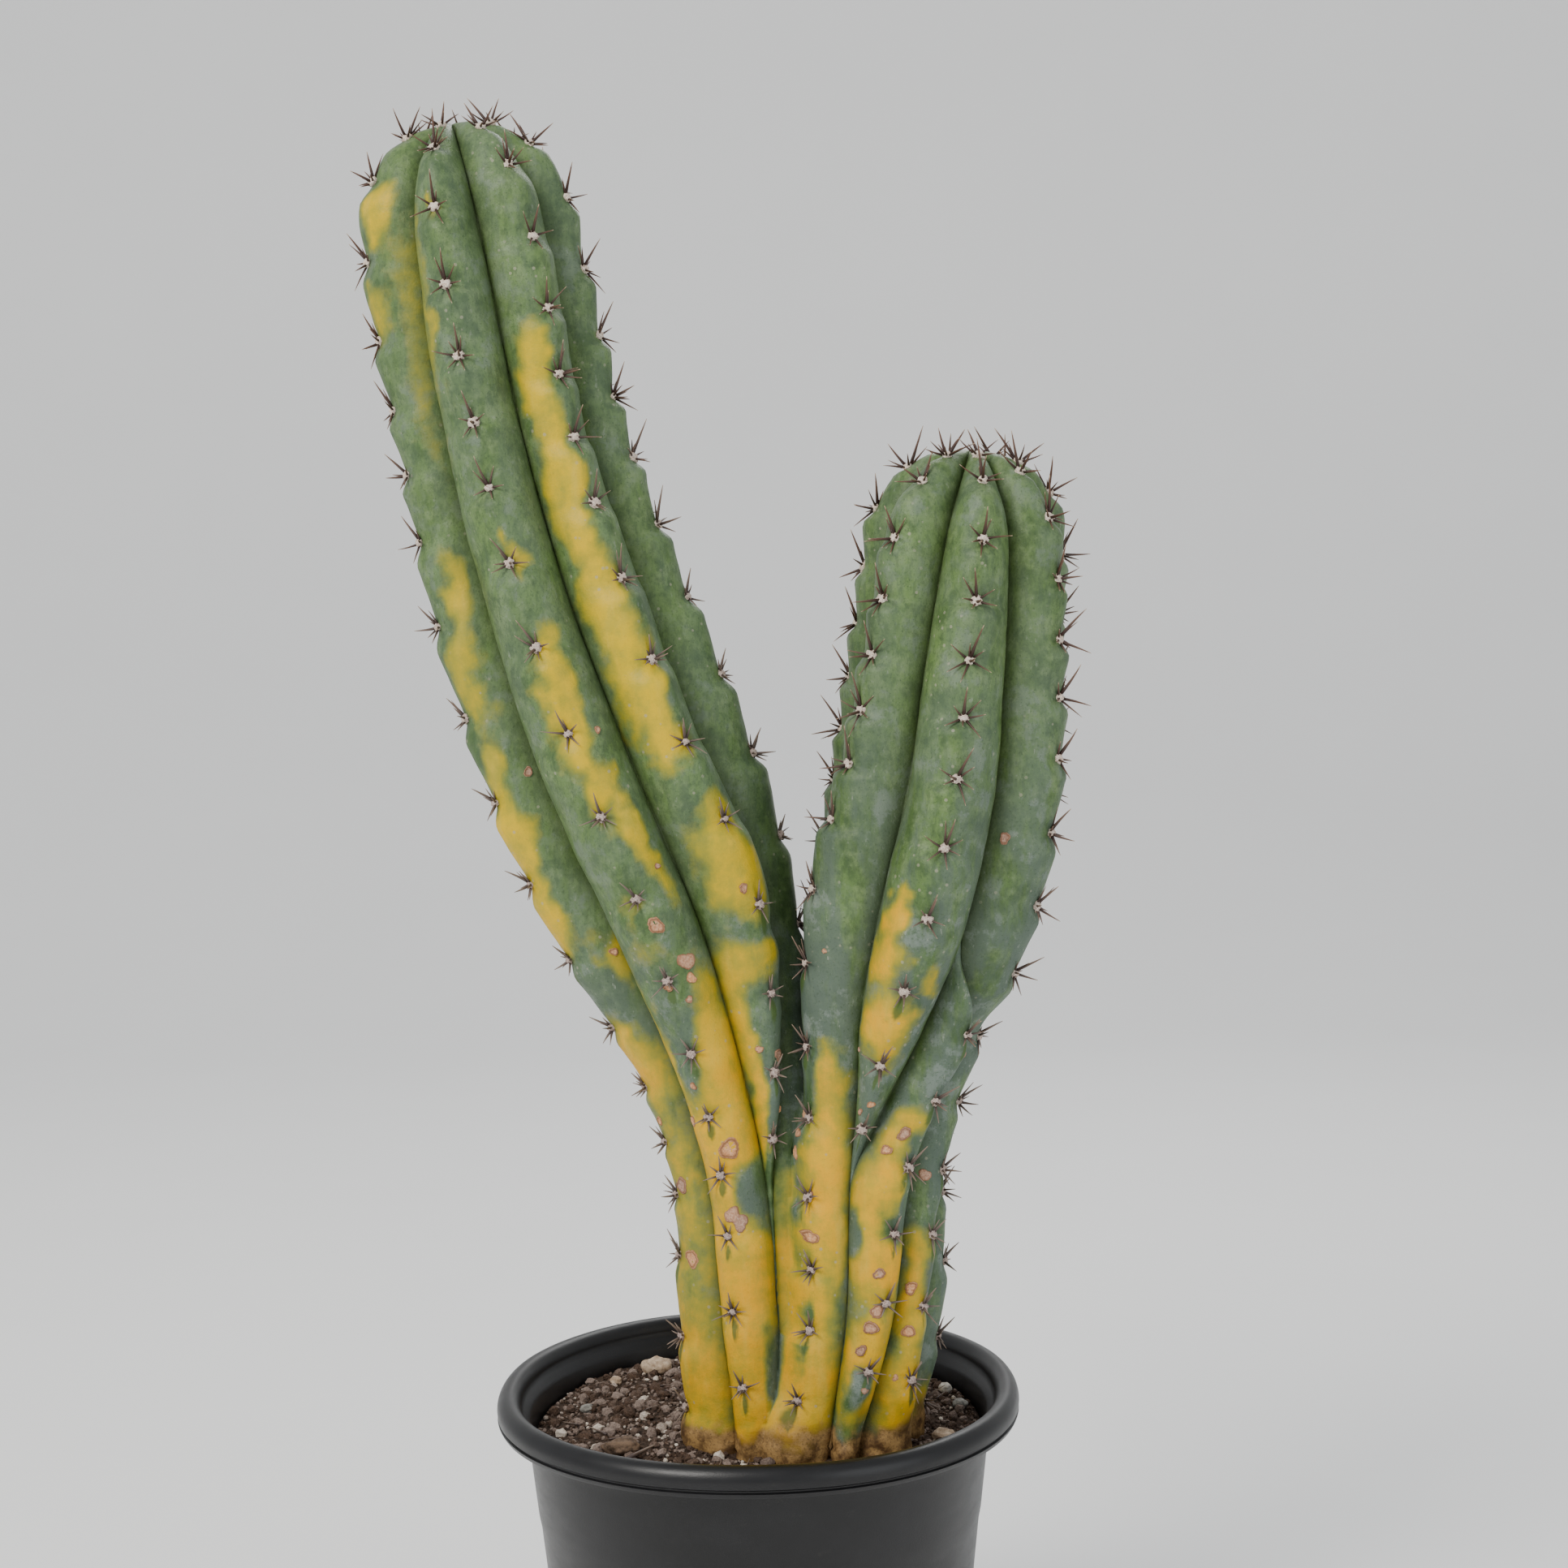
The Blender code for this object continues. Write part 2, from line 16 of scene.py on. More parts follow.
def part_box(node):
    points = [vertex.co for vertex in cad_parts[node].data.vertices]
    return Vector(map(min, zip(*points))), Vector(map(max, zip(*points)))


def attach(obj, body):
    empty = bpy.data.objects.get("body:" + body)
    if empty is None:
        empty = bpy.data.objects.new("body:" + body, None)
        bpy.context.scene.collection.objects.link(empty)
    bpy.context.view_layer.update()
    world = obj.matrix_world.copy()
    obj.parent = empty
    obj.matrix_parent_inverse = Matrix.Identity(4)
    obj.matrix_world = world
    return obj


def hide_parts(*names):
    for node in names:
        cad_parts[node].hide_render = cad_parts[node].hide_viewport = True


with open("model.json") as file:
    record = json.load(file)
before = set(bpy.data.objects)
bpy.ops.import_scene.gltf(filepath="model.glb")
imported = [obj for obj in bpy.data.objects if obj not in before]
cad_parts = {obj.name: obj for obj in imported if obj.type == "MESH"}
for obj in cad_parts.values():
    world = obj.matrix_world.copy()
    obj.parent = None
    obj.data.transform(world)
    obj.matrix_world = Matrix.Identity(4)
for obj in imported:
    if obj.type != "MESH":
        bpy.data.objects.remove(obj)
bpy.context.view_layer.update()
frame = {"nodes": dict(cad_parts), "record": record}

# --- the stems: the same driving numbers as in the solid model ---
# Angles in degrees from the front (-Y) round towards +X; one value for each height.
LEFT = {
    "heights": (0.15, 0.2, 0.26, 0.32, 0.38, 0.44, 0.52, 0.6, 0.68, 0.76, 0.84),
    "x": (-0.002, -0.002, -0.003, -0.004, -0.014, -0.032, -0.062, -0.09, -0.1105, -0.1265, -0.138),
    "y": (-0.016, -0.016, -0.014, -0.011, -0.008, -0.005, -0.001, 0.002, 0.004, 0.006, 0.007),
    "radius": (0.029, 0.0345, 0.036, 0.0365, 0.043, 0.0585, 0.0665, 0.0625, 0.0565, 0.054, 0.0495),
    "crease_ratio": (0.8, 0.78, 0.76, 0.72, 0.68, 0.66, 0.66, 0.66, 0.66, 0.66, 0.66),
    "creases": (
        (-130, -130, -121, -112, -116, -108, -90, -98, -98, -106, -95),
        (-19, -19, -29, -40, -48, -43, -45, -44, -46, -39, -27),
        (30, 30, 30, 22, 17, 16, 13, 12, 12, 14, 8),
        (30, 30, 30, 31, 59, 76, 58, 61, 59, 66, 56),
        (90, 90, 90, 88, 104, 118, 104, 102, 98, 102, 92),
        (145, 145, 145, 142, 150, 164, 158, 154, 150, 152, 146),
        (190, 190, 190, 195, 198, 208, 212, 208, 205, 202, 202),
    ),
    "crest_places": {
        1: (0.29, 0.29, 0.27, 0.37, 0.48, 0.54, 0.6, 0.59, 0.58, 0.52, 0.51),
    },
    "top": 0.8345,
    "dome_height": 0.05,
    # heights of the areoles, top to bottom, and each rib's shift in steps along that list
    "levels": (0.8335, 0.829, 0.81, 0.774, 0.738, 0.706, 0.676, 0.645, 0.607, 0.566, 0.526, 0.487,
               0.447, 0.408, 0.373, 0.343, 0.314, 0.282, 0.243, 0.208, 0.17),
    "shifts": (0.0, -0.42, 0.13, 0.55, 0.25, -0.3, -0.25),
}
RIGHT = {
    "heights": (0.15, 0.2, 0.26, 0.32, 0.36, 0.4, 0.45, 0.51, 0.57, 0.63, 0.675),
    "x": (0.036, 0.04, 0.0505, 0.0545, 0.061, 0.069, 0.0815, 0.0965, 0.1035, 0.1085, 0.1115),
    "y": (-0.018, -0.019, -0.019, -0.02, -0.021, -0.022, -0.022, -0.022, -0.022, -0.021, -0.021),
    "radius": (0.033, 0.041, 0.0415, 0.0405, 0.04, 0.0465, 0.0575, 0.059, 0.055, 0.05, 0.046),
    "crease_ratio": (0.8, 0.78, 0.76, 0.72, 0.68, 0.66, 0.66, 0.66, 0.66, 0.66, 0.66),
    "creases": (
        (-135, -135, -124, -122, -104, -106, -104, -92, -86, -78, -64),
        (-8, -8, -12, -16, -22, -31, -30, -30, -28, -20, -10),
        (-8, -8, -12, -16, 5, 26, 33, 31, 31, 30, 22),
        (18, 18, 30, 40, 50, 62, 33, 31, 31, 30, 22),
        (75, 75, 64, 84, 110, 112, 108, 92, 88, 80, 60),
        (120, 120, 110, 130, 150, 152, 150, 142, 138, 130, 112),
        (170, 170, 160, 180, 196, 196, 194, 186, 184, 178, 165),
        (212, 212, 212, 225, 230, 226, 224, 228, 230, 230, 232),
    ),
    "crest_places": {
        0: (0.8, 0.8, 0.79, 0.72, 0.56, 0.46, 0.49, 0.52, 0.55, 0.53, 0.55),
        2: (0.5, 0.5, 0.64, 0.7, 0.72, 0.67, 0.5, 0.5, 0.5, 0.5, 0.5),
    },
    "top": 0.672,
    "dome_height": 0.046,
    "levels": (0.671, 0.668, 0.656, 0.628, 0.599, 0.572, 0.546, 0.518, 0.486, 0.453, 0.418, 0.382,
               0.35, 0.316, 0.282, 0.25, 0.216, 0.18),
    "shifts": (0.05, 0.0, 0.45, -0.45, 0.1, -0.3, 0.35, -0.5),
}
TOP_LEVELS = 2  # entries of "levels" above the rib's first full step
LOBE_WIDTH_POWER = 1.6  # this and the next round the crest of a rib and sharpen its creases
LOBE_HEIGHT_POWER = 0.75
FULL_RIB_ANGLE = 30.0  # degrees; a narrower rib is also lower
DOME_POWER = 2.15  # roundness of the tip
LEAST_RIB_ANGLE = 0.3  # degrees kept by a rib that has run out
APEX_DIMPLE = 0.004
TIP_CREASE = 0.3  # how much deeper the creases run as they reach the tip
STEM_FOOT = 0.172  # the stems run down into the mix to here
RING_STEP = 0.0021
FLANK_STEPS = 10
DOME_STEPS = 26
CHIN = 0.0062  # how far a rib swells just below each areole
CHIN_RISE = 0.3  # share of the way to the areole below at which the swelling is full
FOOT_FLARE = 0.0022  # how far the skin spreads where it meets the mix
SOIL_TOP = 0.189  # about where the mix meets the stump

# Yellow parts of each rib: height in mm, side (-100 left crease, 0 crest, 100 right crease), half
# height in mm, half width in the unit of the sides, strength in percent. A negative strength is a
# green island in the yellow.
PATCH_UNITS = (1000, 100, 1000, 100, 100)
LEFT_PATCHES = {
    0: ((797, 40, 18, 28, 95), (750, 15, 14, 26, 70), (735, 80, 70, 40, 50), (623, 62, 22, 30, 90),
        (583, 45, 28, 35, 72), (540, 35, 16, 30, 60), (505, 18, 34, 46, 100), (468, 15, 26, 46, 100),
        (440, 88, 16, 25, 80), (388, 28, 26, 70, 100), (335, 30, 40, 110, 62), (270, 30, 55, 110, 62),
        (215, 20, 40, 140, 85)),
    1: ((790, 0, 14, 12, 70), (735, -40, 10, 18, 60), (745, -70, 70, 40, 50), (625, 15, 14, 18, 75),
        (572, 25, 22, 36, 100), (548, 0, 22, 32, 100), (520, 12, 24, 32, 100), (490, 50, 22, 20, 90),
        (468, 55, 12, 28, 75), (462, -20, 12, 30, 60), (440, -15, 10, 50, 50), (385, 60, 46, 55, 100),
        (390, -80, 45, 35, 80), (340, 0, 28, 140, 100), (280, -10, 50, 160, 100),
        (220, -10, 50, 160, 100), (317, 70, 16, 45, -100), (226, 85, 30, 30, -80)),
    2: ((705, -48, 28, 42, 100), (665, -45, 26, 38, 100), (635, -48, 26, 38, 100),
        (600, -40, 24, 38, 95), (560, -38, 44, 48, 100), (525, -30, 14, 48, 100),
        (490, 0, 10, 30, 70), (466, -20, 24, 58, 100), (448, -10, 14, 60, 80), (419, -20, 10, 60, 75),
        (398, -80, 36, 42, 95), (350, -80, 34, 38, 90), (338, -20, 8, 30, 60)),
    3: ((280, 0, 50, 160, 100), (215, 0, 50, 160, 100)),
    4: ((560, -20, 40, 40, 90), (470, 20, 50, 50, 100), (350, 0, 50, 120, 90), (240, 0, 70, 160, 100)),
    5: ((690, 10, 30, 30, 80), (520, -30, 40, 50, 100), (400, 20, 45, 60, 100),
        (290, 0, 50, 130, 100), (215, 0, 50, 160, 100)),
    6: ((740, -20, 30, 40, 80), (600, 20, 40, 40, 90), (450, 0, 40, 60, 100), (330, 0, 60, 130, 100),
        (230, 0, 60, 160, 100)),
}
RIGHT_PATCHES = {
    0: ((372, 60, 14, 40, 85), (335, 50, 34, 60, 100), (300, 40, 30, 66, 100), (262, 0, 20, 95, 100),
        (215, 10, 45, 150, 100), (252, 6, 20, 7, -100)),
    1: ((452, -45, 14, 28, 95), (428, -55, 14, 42, 100), (425, 35, 9, 28, 70),
        (400, -20, 14, 75, 100), (386, 10, 8, 40, 75)),
    2: ((352, -35, 14, 52, 85), (318, -50, 28, 55, 100), (284, -10, 20, 110, 100),
        (235, 0, 35, 150, 100), (300, -85, 12, 22, -90), (302, 15, 10, 22, -80),
        (226, -20, 12, 55, -90)),
    3: ((290, -60, 18, 50, 85), (295, 20, 15, 60, 45), (262, -45, 18, 70, 95), (222, 0, 30, 140, 100)),
    4: ((215, -60, 20, 60, 70),),
    5: ((420, 20, 40, 50, 90), (300, 0, 50, 90, 90), (220, 0, 40, 140, 90)),
    6: ((500, 0, 40, 40, 90), (380, -20, 50, 60, 100), (250, 0, 60, 140, 100)),
    7: ((300, 0, 50, 100, 90), (220, 0, 50, 140, 100)),
}

# Corky scars: rib, height in mm, side as above, radius in mm, kind.
LEFT_SCARS = (
    (1, 450, 16, 4.2, "ring"), (1, 430, 44, 4.6, "patch"), (1, 422, 42, 2.8, "patch"),
    (1, 422, -2, 2.6, "ring"), (1, 413, 28, 2.0, "dot"), (1, 339, 28, 5.6, "ring"),
    (1, 306, 12, 4.4, "patch"), (1, 302, 26, 4.2, "patch"), (0, 320, 34, 4.0, "ring"),
    (0, 282, 46, 4.4, "ring"), (2, 381, -44, 2.2, "dot"), (2, 376, 25, 3.4, "ring"),
    (0, 534, 84, 2.4, "ring"), (0, 444, 86, 2.2, "ring"), (2, 451, -20, 2.4, "ring"),
    (0, 355, 22, 2.4, "ring"), (1, 354, -62, 2.6, "patch"), (1, 474, 58, 1.6, "dot"),
    (1, 540, 52, 1.7, "ring"), (1, 372, -15, 1.8, "dot"), (2, 352, 45, 1.8, "dot"),
)
RIGHT_SCARS = (
    (0, 297, 10, 3.6, "ring"), (0, 381, -6, 4.4, "patch"), (0, 349, -12, 3.0, "patch"),
    (0, 340, -16, 2.6, "patch"), (0, 331, -20, 3.2, "patch"), (3, 329, -62, 3.2, "patch"),
    (2, 351, -38, 3.4, "ring"), (2, 342, -55, 2.8, "ring"), (2, 282, -26, 3.0, "ring"),
    (2, 264, -20, 3.4, "ring"), (2, 256, -28, 3.6, "ring"), (2, 244, -40, 2.8, "ring"),
    (3, 273, -62, 3.2, "ring"), (3, 254, -50, 3.4, "ring"), (3, 495, -80, 2.8, "ring"),
    (0, 425, 40, 1.6, "dot"), (1, 386, -80, 1.6, "dot"), (0, 316, 8, 1.5, "dot"),
    (1, 363, 10, 2.0, "dot"), (1, 358, -40, 1.8, "dot"), (2, 392, 30, 2.2, "dot"),
    (3, 232, -55, 2.0, "dot"), (2, 226, 10, 2.0, "dot"),
)
# Pinches, where a rib was squeezed as it grew: rib, height, side (-1 to 1), half height, half
# width, depth. A negative depth is a swelling, such as the flare at the foot of a rib.
LEFT_PINCHES = ((2, 0.431, 0.3, 0.007, 0.75, 0.0045), (1, 0.406, 0.0, 0.012, 0.9, 0.0012),
                (0, 0.43, 0.3, 0.016, 1.0, 0.0018))
RIGHT_PINCHES = ((3, 0.405, 0.1, 0.012, 0.9, 0.003), (2, 0.425, 0.2, 0.014, 0.9, 0.002),
                 (4, 0.335, -0.2, 0.012, 0.9, 0.0035), (0, 0.184, -0.5, 0.022, 0.9, -0.0095),
                 (3, 0.182, 0.0, 0.018, 0.9, -0.003))
LEFT.update(patches=LEFT_PATCHES, scars=LEFT_SCARS, pinches=LEFT_PINCHES)
RIGHT.update(patches=RIGHT_PATCHES, scars=RIGHT_SCARS, pinches=RIGHT_PINCHES)
STEMS = {"left": LEFT, "right": RIGHT}


# --- small helpers ---

def mesh_object(name, points, faces, finish, smooth=True):
    mesh = bpy.data.meshes.new(name)
    mesh.from_pydata([tuple(p) for p in points], [], faces)
    mesh.validate()
    piece = bpy.data.objects.new(name, mesh)
    bpy.context.scene.collection.objects.link(piece)
    if finish is not None:
        mesh.materials.append(finish)
    if smooth:
        mesh.shade_smooth()
    return piece


def set_values(piece, name, values):
    """Store one number per vertex, for the material to read."""
    layer = piece.data.attributes.new(name, "FLOAT", "POINT")
    layer.data.foreach_set("value", np.asarray(values, dtype=np.float32))


def ease(x):
    x = np.clip(x, 0.0, 1.0)
    return x * x * (3 - 2 * x)


def place(piece, slot, *nodes):
    """Hang a finished piece on the only body, and hide the solid nodes it may stand for."""
    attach(piece, "root")
    if nodes:
        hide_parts(*nodes)


def turns(count):
    """Angles of count even steps round a circle."""
    return [2 * math.pi * k / count for k in range(count)]


def polar(radius, turn):
    return radius * math.cos(turn), radius * math.sin(turn)


def ring_faces(low, high, count, flipped=False):
    """Quads between two rings of count points, which start at low and at high."""
    faces = []
    for k in range(count):
        after = (k + 1) % count
        quad = (low + k, low + after, high + after, high + k)
        faces.append((quad[0], quad[3], quad[2], quad[1]) if flipped else quad)
    return faces


def combine(piece, tool, operation):
    """Boolean of a piece with a tool, which is used up."""
    change = piece.modifiers.new(operation, "BOOLEAN")
    change.object = tool
    change.operation = operation
    change.solver = "MANIFOLD"
    bpy.context.view_layer.update()
    mesh = bpy.data.meshes.new_from_object(piece.evaluated_get(bpy.context.evaluated_depsgraph_get()))
    piece.modifiers.clear()
    piece.data = mesh
    mesh.shade_smooth()
    bpy.data.objects.remove(tool)
    return mesh


# --- stem geometry ---

def along(heights, values, z):
    """Smooth curve through the set values (cubic, slopes from the neighbours)."""
    h = np.asarray(heights, float)
    v = np.asarray(values, float)
    z = np.clip(z, h[0], h[-1])
    i = np.clip(np.searchsorted(h, z, side="left") - 1, 0, len(h) - 2)
    slopes = np.empty_like(v)
    slopes[1:-1] = (v[2:] - v[:-2]) / (h[2:] - h[:-2])
    slopes[0] = (v[1] - v[0]) / (h[1] - h[0])
    slopes[-1] = (v[-1] - v[-2]) / (h[-1] - h[-2])
    span = h[i + 1] - h[i]
    u = (z - h[i]) / span
    start = v[i] * (1 + 2 * u) * (1 - u) ** 2 + slopes[i] * span * u * (1 - u) ** 2
    end = v[i + 1] * u * u * (3 - 2 * u) + slopes[i + 1] * span * u * u * (u - 1)
    return start + end


def axis_points(stem, z):
    heights = stem["heights"]
    return np.stack([along(heights, stem["x"], z), along(heights, stem["y"], z), z], -1)


def section_frames(stem, z):
    """Middle, right, forward and up vectors of the sections at heights z."""
    step = 0.002
    up = axis_points(stem, z + step) - axis_points(stem, z - step)
    up /= np.linalg.norm(up, axis=-1, keepdims=True)
    right = np.cross(np.array([0.0, -1.0, 0.0]), up)
    right *= np.sign(right[..., :1])
    right /= np.linalg.norm(right, axis=-1, keepdims=True)
    forward = np.cross(up, right)
    forward *= -np.sign(forward[..., 1:2])
    return axis_points(stem, z), right, forward, up


def crease_angles(stem, z):
    """Crease angles at each height, the first repeated a full turn later."""
    rows = [along(stem["heights"], row, z) for row in stem["creases"]]
    for k in range(1, len(rows)):
        rows[k] = np.maximum(rows[k], rows[k - 1] + LEAST_RIB_ANGLE)
    return np.stack(rows + [rows[0] + 360.0], -1)


def crest_places(stem, z):
    columns = []
    for k in range(len(stem["creases"])):
        values = stem["crest_places"].get(k)
        columns.append(along(stem["heights"], values, z) if values else np.full_like(z, 0.5))
    return np.stack(columns, -1)


def areole_phase(stem, z, rib):
    """0 at an areole, rising to 1 just above the next one down the rib."""
    levels = np.asarray(stem["levels"])[::-1]
    steps = np.interp(z, levels, np.arange(len(levels))[::-1] - TOP_LEVELS)
    return (steps - np.asarray(stem["shifts"])[rib]) % 1.0


def rib_edges(stem, z, rib):
    """Left crease, crest and right crease angles of a rib at each height."""
    angles = crease_angles(stem, z)
    index = np.arange(len(z))
    left = angles[index, rib]
    right = angles[index, rib + 1]
    return left, left + crest_places(stem, z)[index, rib] * (right - left), right


def surface_radius(stem, z, rib, side, bumps=True):
    """Angle (radians) and radius of the skin at a height, rib and side (-1 to 1)."""
    left, crest, right = rib_edges(stem, z, rib)
    edge = np.where(side < 0, left, right)
    angle = crest + np.abs(side) * (edge - crest)
    width = ease((right - left) / FULL_RIB_ANGLE)
    lobe = (1 - np.abs(side) ** LOBE_WIDTH_POWER) ** LOBE_HEIGHT_POWER
    rise = np.clip((z - stem["top"] + stem["dome_height"]) / stem["dome_height"], 0.0, 1.0)
    scale = (1 - rise ** DOME_POWER) ** (1 / DOME_POWER)
    ratio = along(stem["heights"], stem["crease_ratio"], z) * (1 - TIP_CREASE * rise ** 2)
    base = along(stem["heights"], stem["radius"], z)
    radius = base * (ratio + (1 - ratio) * width * lobe) * scale
    if bumps:
        phase = areole_phase(stem, z, rib)
        chin = ease(phase / CHIN_RISE) * (1 - phase) ** 1.1 - 0.32
        youth = 0.55 + 0.45 * ease((z - 0.34) / 0.2)
        radius = radius + CHIN * youth * chin * (1 - side ** 2) ** 2.2 * width * scale
        for number, height, at_side, half_z, half_side, depth in stem["pinches"]:
            away = ((z - height) / half_z) ** 2 + ((side - at_side) / half_side) ** 2
            radius = radius - depth * np.exp(-away) * (rib == number)
        radius = radius + FOOT_FLARE * (ease((0.206 - z) / 0.014) * lobe)
    return np.radians(angle), radius


def surface(stem, z, rib, side, bumps=True):
    """Points on the skin; bumps are the swellings, pinches and flare on the plain ribs."""
    middle, right, forward, _ = section_frames(stem, z)
    angle, radius = surface_radius(stem, z, rib, side, bumps)
    out = right * np.sin(angle)[:, None] + forward * np.cos(angle)[:, None]
    return middle + out * radius[:, None]


def skin_steps(stem, z, rib, side, dz, ds, bumps):
    """How far the skin's points move over two steps up and two steps across a rib."""
    rise = surface(stem, z + dz, rib, side, bumps) - surface(stem, z - dz, rib, side, bumps)
    run = surface(stem, z, rib, side + ds, bumps) - surface(stem, z, rib, side - ds, bumps)
    return rise, run


def stem_heights(stem):
    start = stem["top"] - stem["dome_height"]
    body = np.linspace(STEM_FOOT, start, int((start - STEM_FOOT) / RING_STEP))
    turn = 0.5 * math.pi * np.arange(1, DOME_STEPS) / (DOME_STEPS - 0.5)
    dome = start + stem["dome_height"] * np.sin(turn) ** (2 / DOME_POWER)
    return np.concatenate([body, dome])


def around_ribs(stem, sides):
    """Rib numbers and sides of the points once round a stem."""
    ribs = len(stem["creases"])
    return np.repeat(np.arange(ribs), len(sides)), np.tile(sides, ribs)


def stem_mesh(name, stem):
    """One ribbed stem as a closed mesh, with finer steps towards the creases."""
    heights = stem_heights(stem)
    even = np.linspace(-1, 1, 2 * FLANK_STEPS, endpoint=False)
    rib, side = around_ribs(stem, np.sin(even * math.pi / 2))
    around = len(rib)
    z = np.repeat(heights, around)
    points = surface(stem, z, np.tile(rib, len(heights)), np.tile(side, len(heights)))
    faces = []
    for ring in range(len(heights) - 1):
        faces += ring_faces(ring * around, (ring + 1) * around, around)
    foot = len(points)
    ends = [axis_points(stem, np.array([z]))[0] for z in (STEM_FOOT, stem["top"] - APEX_DIMPLE)]
    last = foot - around
    for k in range(around):
        after = (k + 1) % around
        faces.append((after, k, foot))
        faces.append((last + k, last + after, foot + 1))
    return mesh_object(name, list(points) + ends, faces, None)


def locate(stem, points):
    """Height, rib and side of points near one stem, and how far each lies off its skin."""
    z = points[:, 2].copy()
    for _ in range(8):
        middle, right, forward, up = section_frames(stem, z)
        z += ((points - middle) * up).sum(1) * up[:, 2]
        z = np.clip(z, STEM_FOOT - 0.02, stem["top"] + 0.01)
    local = points - middle
    turn = np.degrees(np.arctan2((local * right).sum(1), (local * forward).sum(1)))
    angles = crease_angles(stem, z)
    turn = angles[:, 0] + (turn - angles[:, 0]) % 360.0
    rib = np.clip((angles <= turn[:, None]).sum(1) - 1, 0, angles.shape[1] - 2)
    left, crest, edge = rib_edges(stem, z, rib)
    side = np.where(turn < crest, (turn - crest) / np.maximum(crest - left, 1e-6),
                    (turn - crest) / np.maximum(edge - crest, 1e-6))
    side = np.clip(side, -1, 1)
    _, radius = surface_radius(stem, z, rib, side)
    return z, rib, side, np.abs(np.linalg.norm(local, axis=1) - radius)


# --- painting the skin ---

DRIP_TOP = 0.44  # green drips hang only from the areoles below this height
FADE = {"left": 0.5, "right": 0.58}  # each stem's grey bloom fades out at this height
FADE_DEPTH = 0.16


def paint_fields(stem, z, rib, side, warp):
    """Yellow, drip and crease values of skin points; the crease value is the mask of painted shade and
    dirt in the creases.
    """
    rest = np.ones_like(z)
    island = np.zeros_like(z)
    for number, patches in stem["patches"].items():
        for patch in patches:
            scaled = (value / unit for value, unit in zip(patch, PATCH_UNITS))
            height, at_side, half_z, half_side, strength = scaled
            off_z = (z + warp[0] - height) / half_z
            off_side = (side + warp[1] - at_side) / half_side
            value = ease((1.45 - np.sqrt(off_z ** 2 + off_side ** 2)) / 1.1) * (rib == number)
            if strength > 0:
                rest = rest * (1 - value * strength)
            else:
                island = np.maximum(island, -value * strength)
    phase = areole_phase(stem, z, rib)
    drip = np.exp(-((phase - 0.22) / 0.17) ** 2) * np.exp(-((side - 0.02) / 0.085) ** 2)
    # np.abs(side) ** 5 is the crease value: 1 in a crease, the mask of painted shade and dirt
    return (1 - rest) * (1 - island), drip * (z < DRIP_TOP), np.abs(side) ** 5


WANDER_SHIFTS = (Vector((0.0, 0.0, 0.0)), Vector((17.3, 5.1, 9.7)), Vector((3.9, 27.5, 13.3)))


def wander_at(spot):
    """Three smooth irregular numbers, the same in every run, which move the edges of patches."""
    return [noise.noise(spot * 48 + shift) + 0.6 * noise.noise(spot * 130 + shift)
            for shift in WANDER_SHIFTS]


def paint_skin(piece):
    """Store where the skin is yellow, dripped, corky and covered in bloom, and the crease mask of
    painted shade and dirt.
    """
    mesh = piece.data
    points = np.empty(len(mesh.vertices) * 3)
    mesh.vertices.foreach_get("co", points)
    points = points.reshape(-1, 3)
    wander = np.array([wander_at(Vector(p)) for p in points])
    warp = (wander[:, 0] * 0.007, wander[:, 1] * 0.26)
    found = [locate(stem, points) for stem in STEMS.values()]
    fields = [paint_fields(stem, *spot[:3], warp) for stem, spot in zip(STEMS.values(), found)]
    on_left = found[0][3] <= found[1][3]
    for name, left, right in zip(("yellow", "drip", "crease"), *fields):
        set_values(piece, name, np.where(on_left, left, right))
    z = points[:, 2]
    set_values(piece, "cork", ease((0.216 + 0.012 * wander[:, 2] - z) / 0.024))
    powder = ease((np.where(on_left, FADE["left"], FADE["right"]) - z) / FADE_DEPTH)
    set_values(piece, "bloom", 0.34 + 0.66 * powder)


def roughen_skin(piece):
    """Shallow unevenness of the grown skin along the normals, and bark at the foot."""
    mesh = piece.data
    bark_top = 0.215
    spots = [vert.co.copy() for vert in mesh.vertices]
    normals = [vert.normal.copy() for vert in mesh.vertices]
    moved = []
    for spot, normal in zip(spots, normals):
        swell = 0.0007 * noise.noise(spot * 34) + 0.00025 * noise.noise(spot * 130)
        if spot.z < bark_top:
            bark = noise.noise(Vector((spot.x * 160, spot.y * 160, spot.z * 380)))
            swell += 0.0011 * bark * (bark_top - spot.z) / 0.02
        moved.extend(spot + normal * swell)
    mesh.vertices.foreach_set("co", moved)
    mesh.update()


# --- materials ---

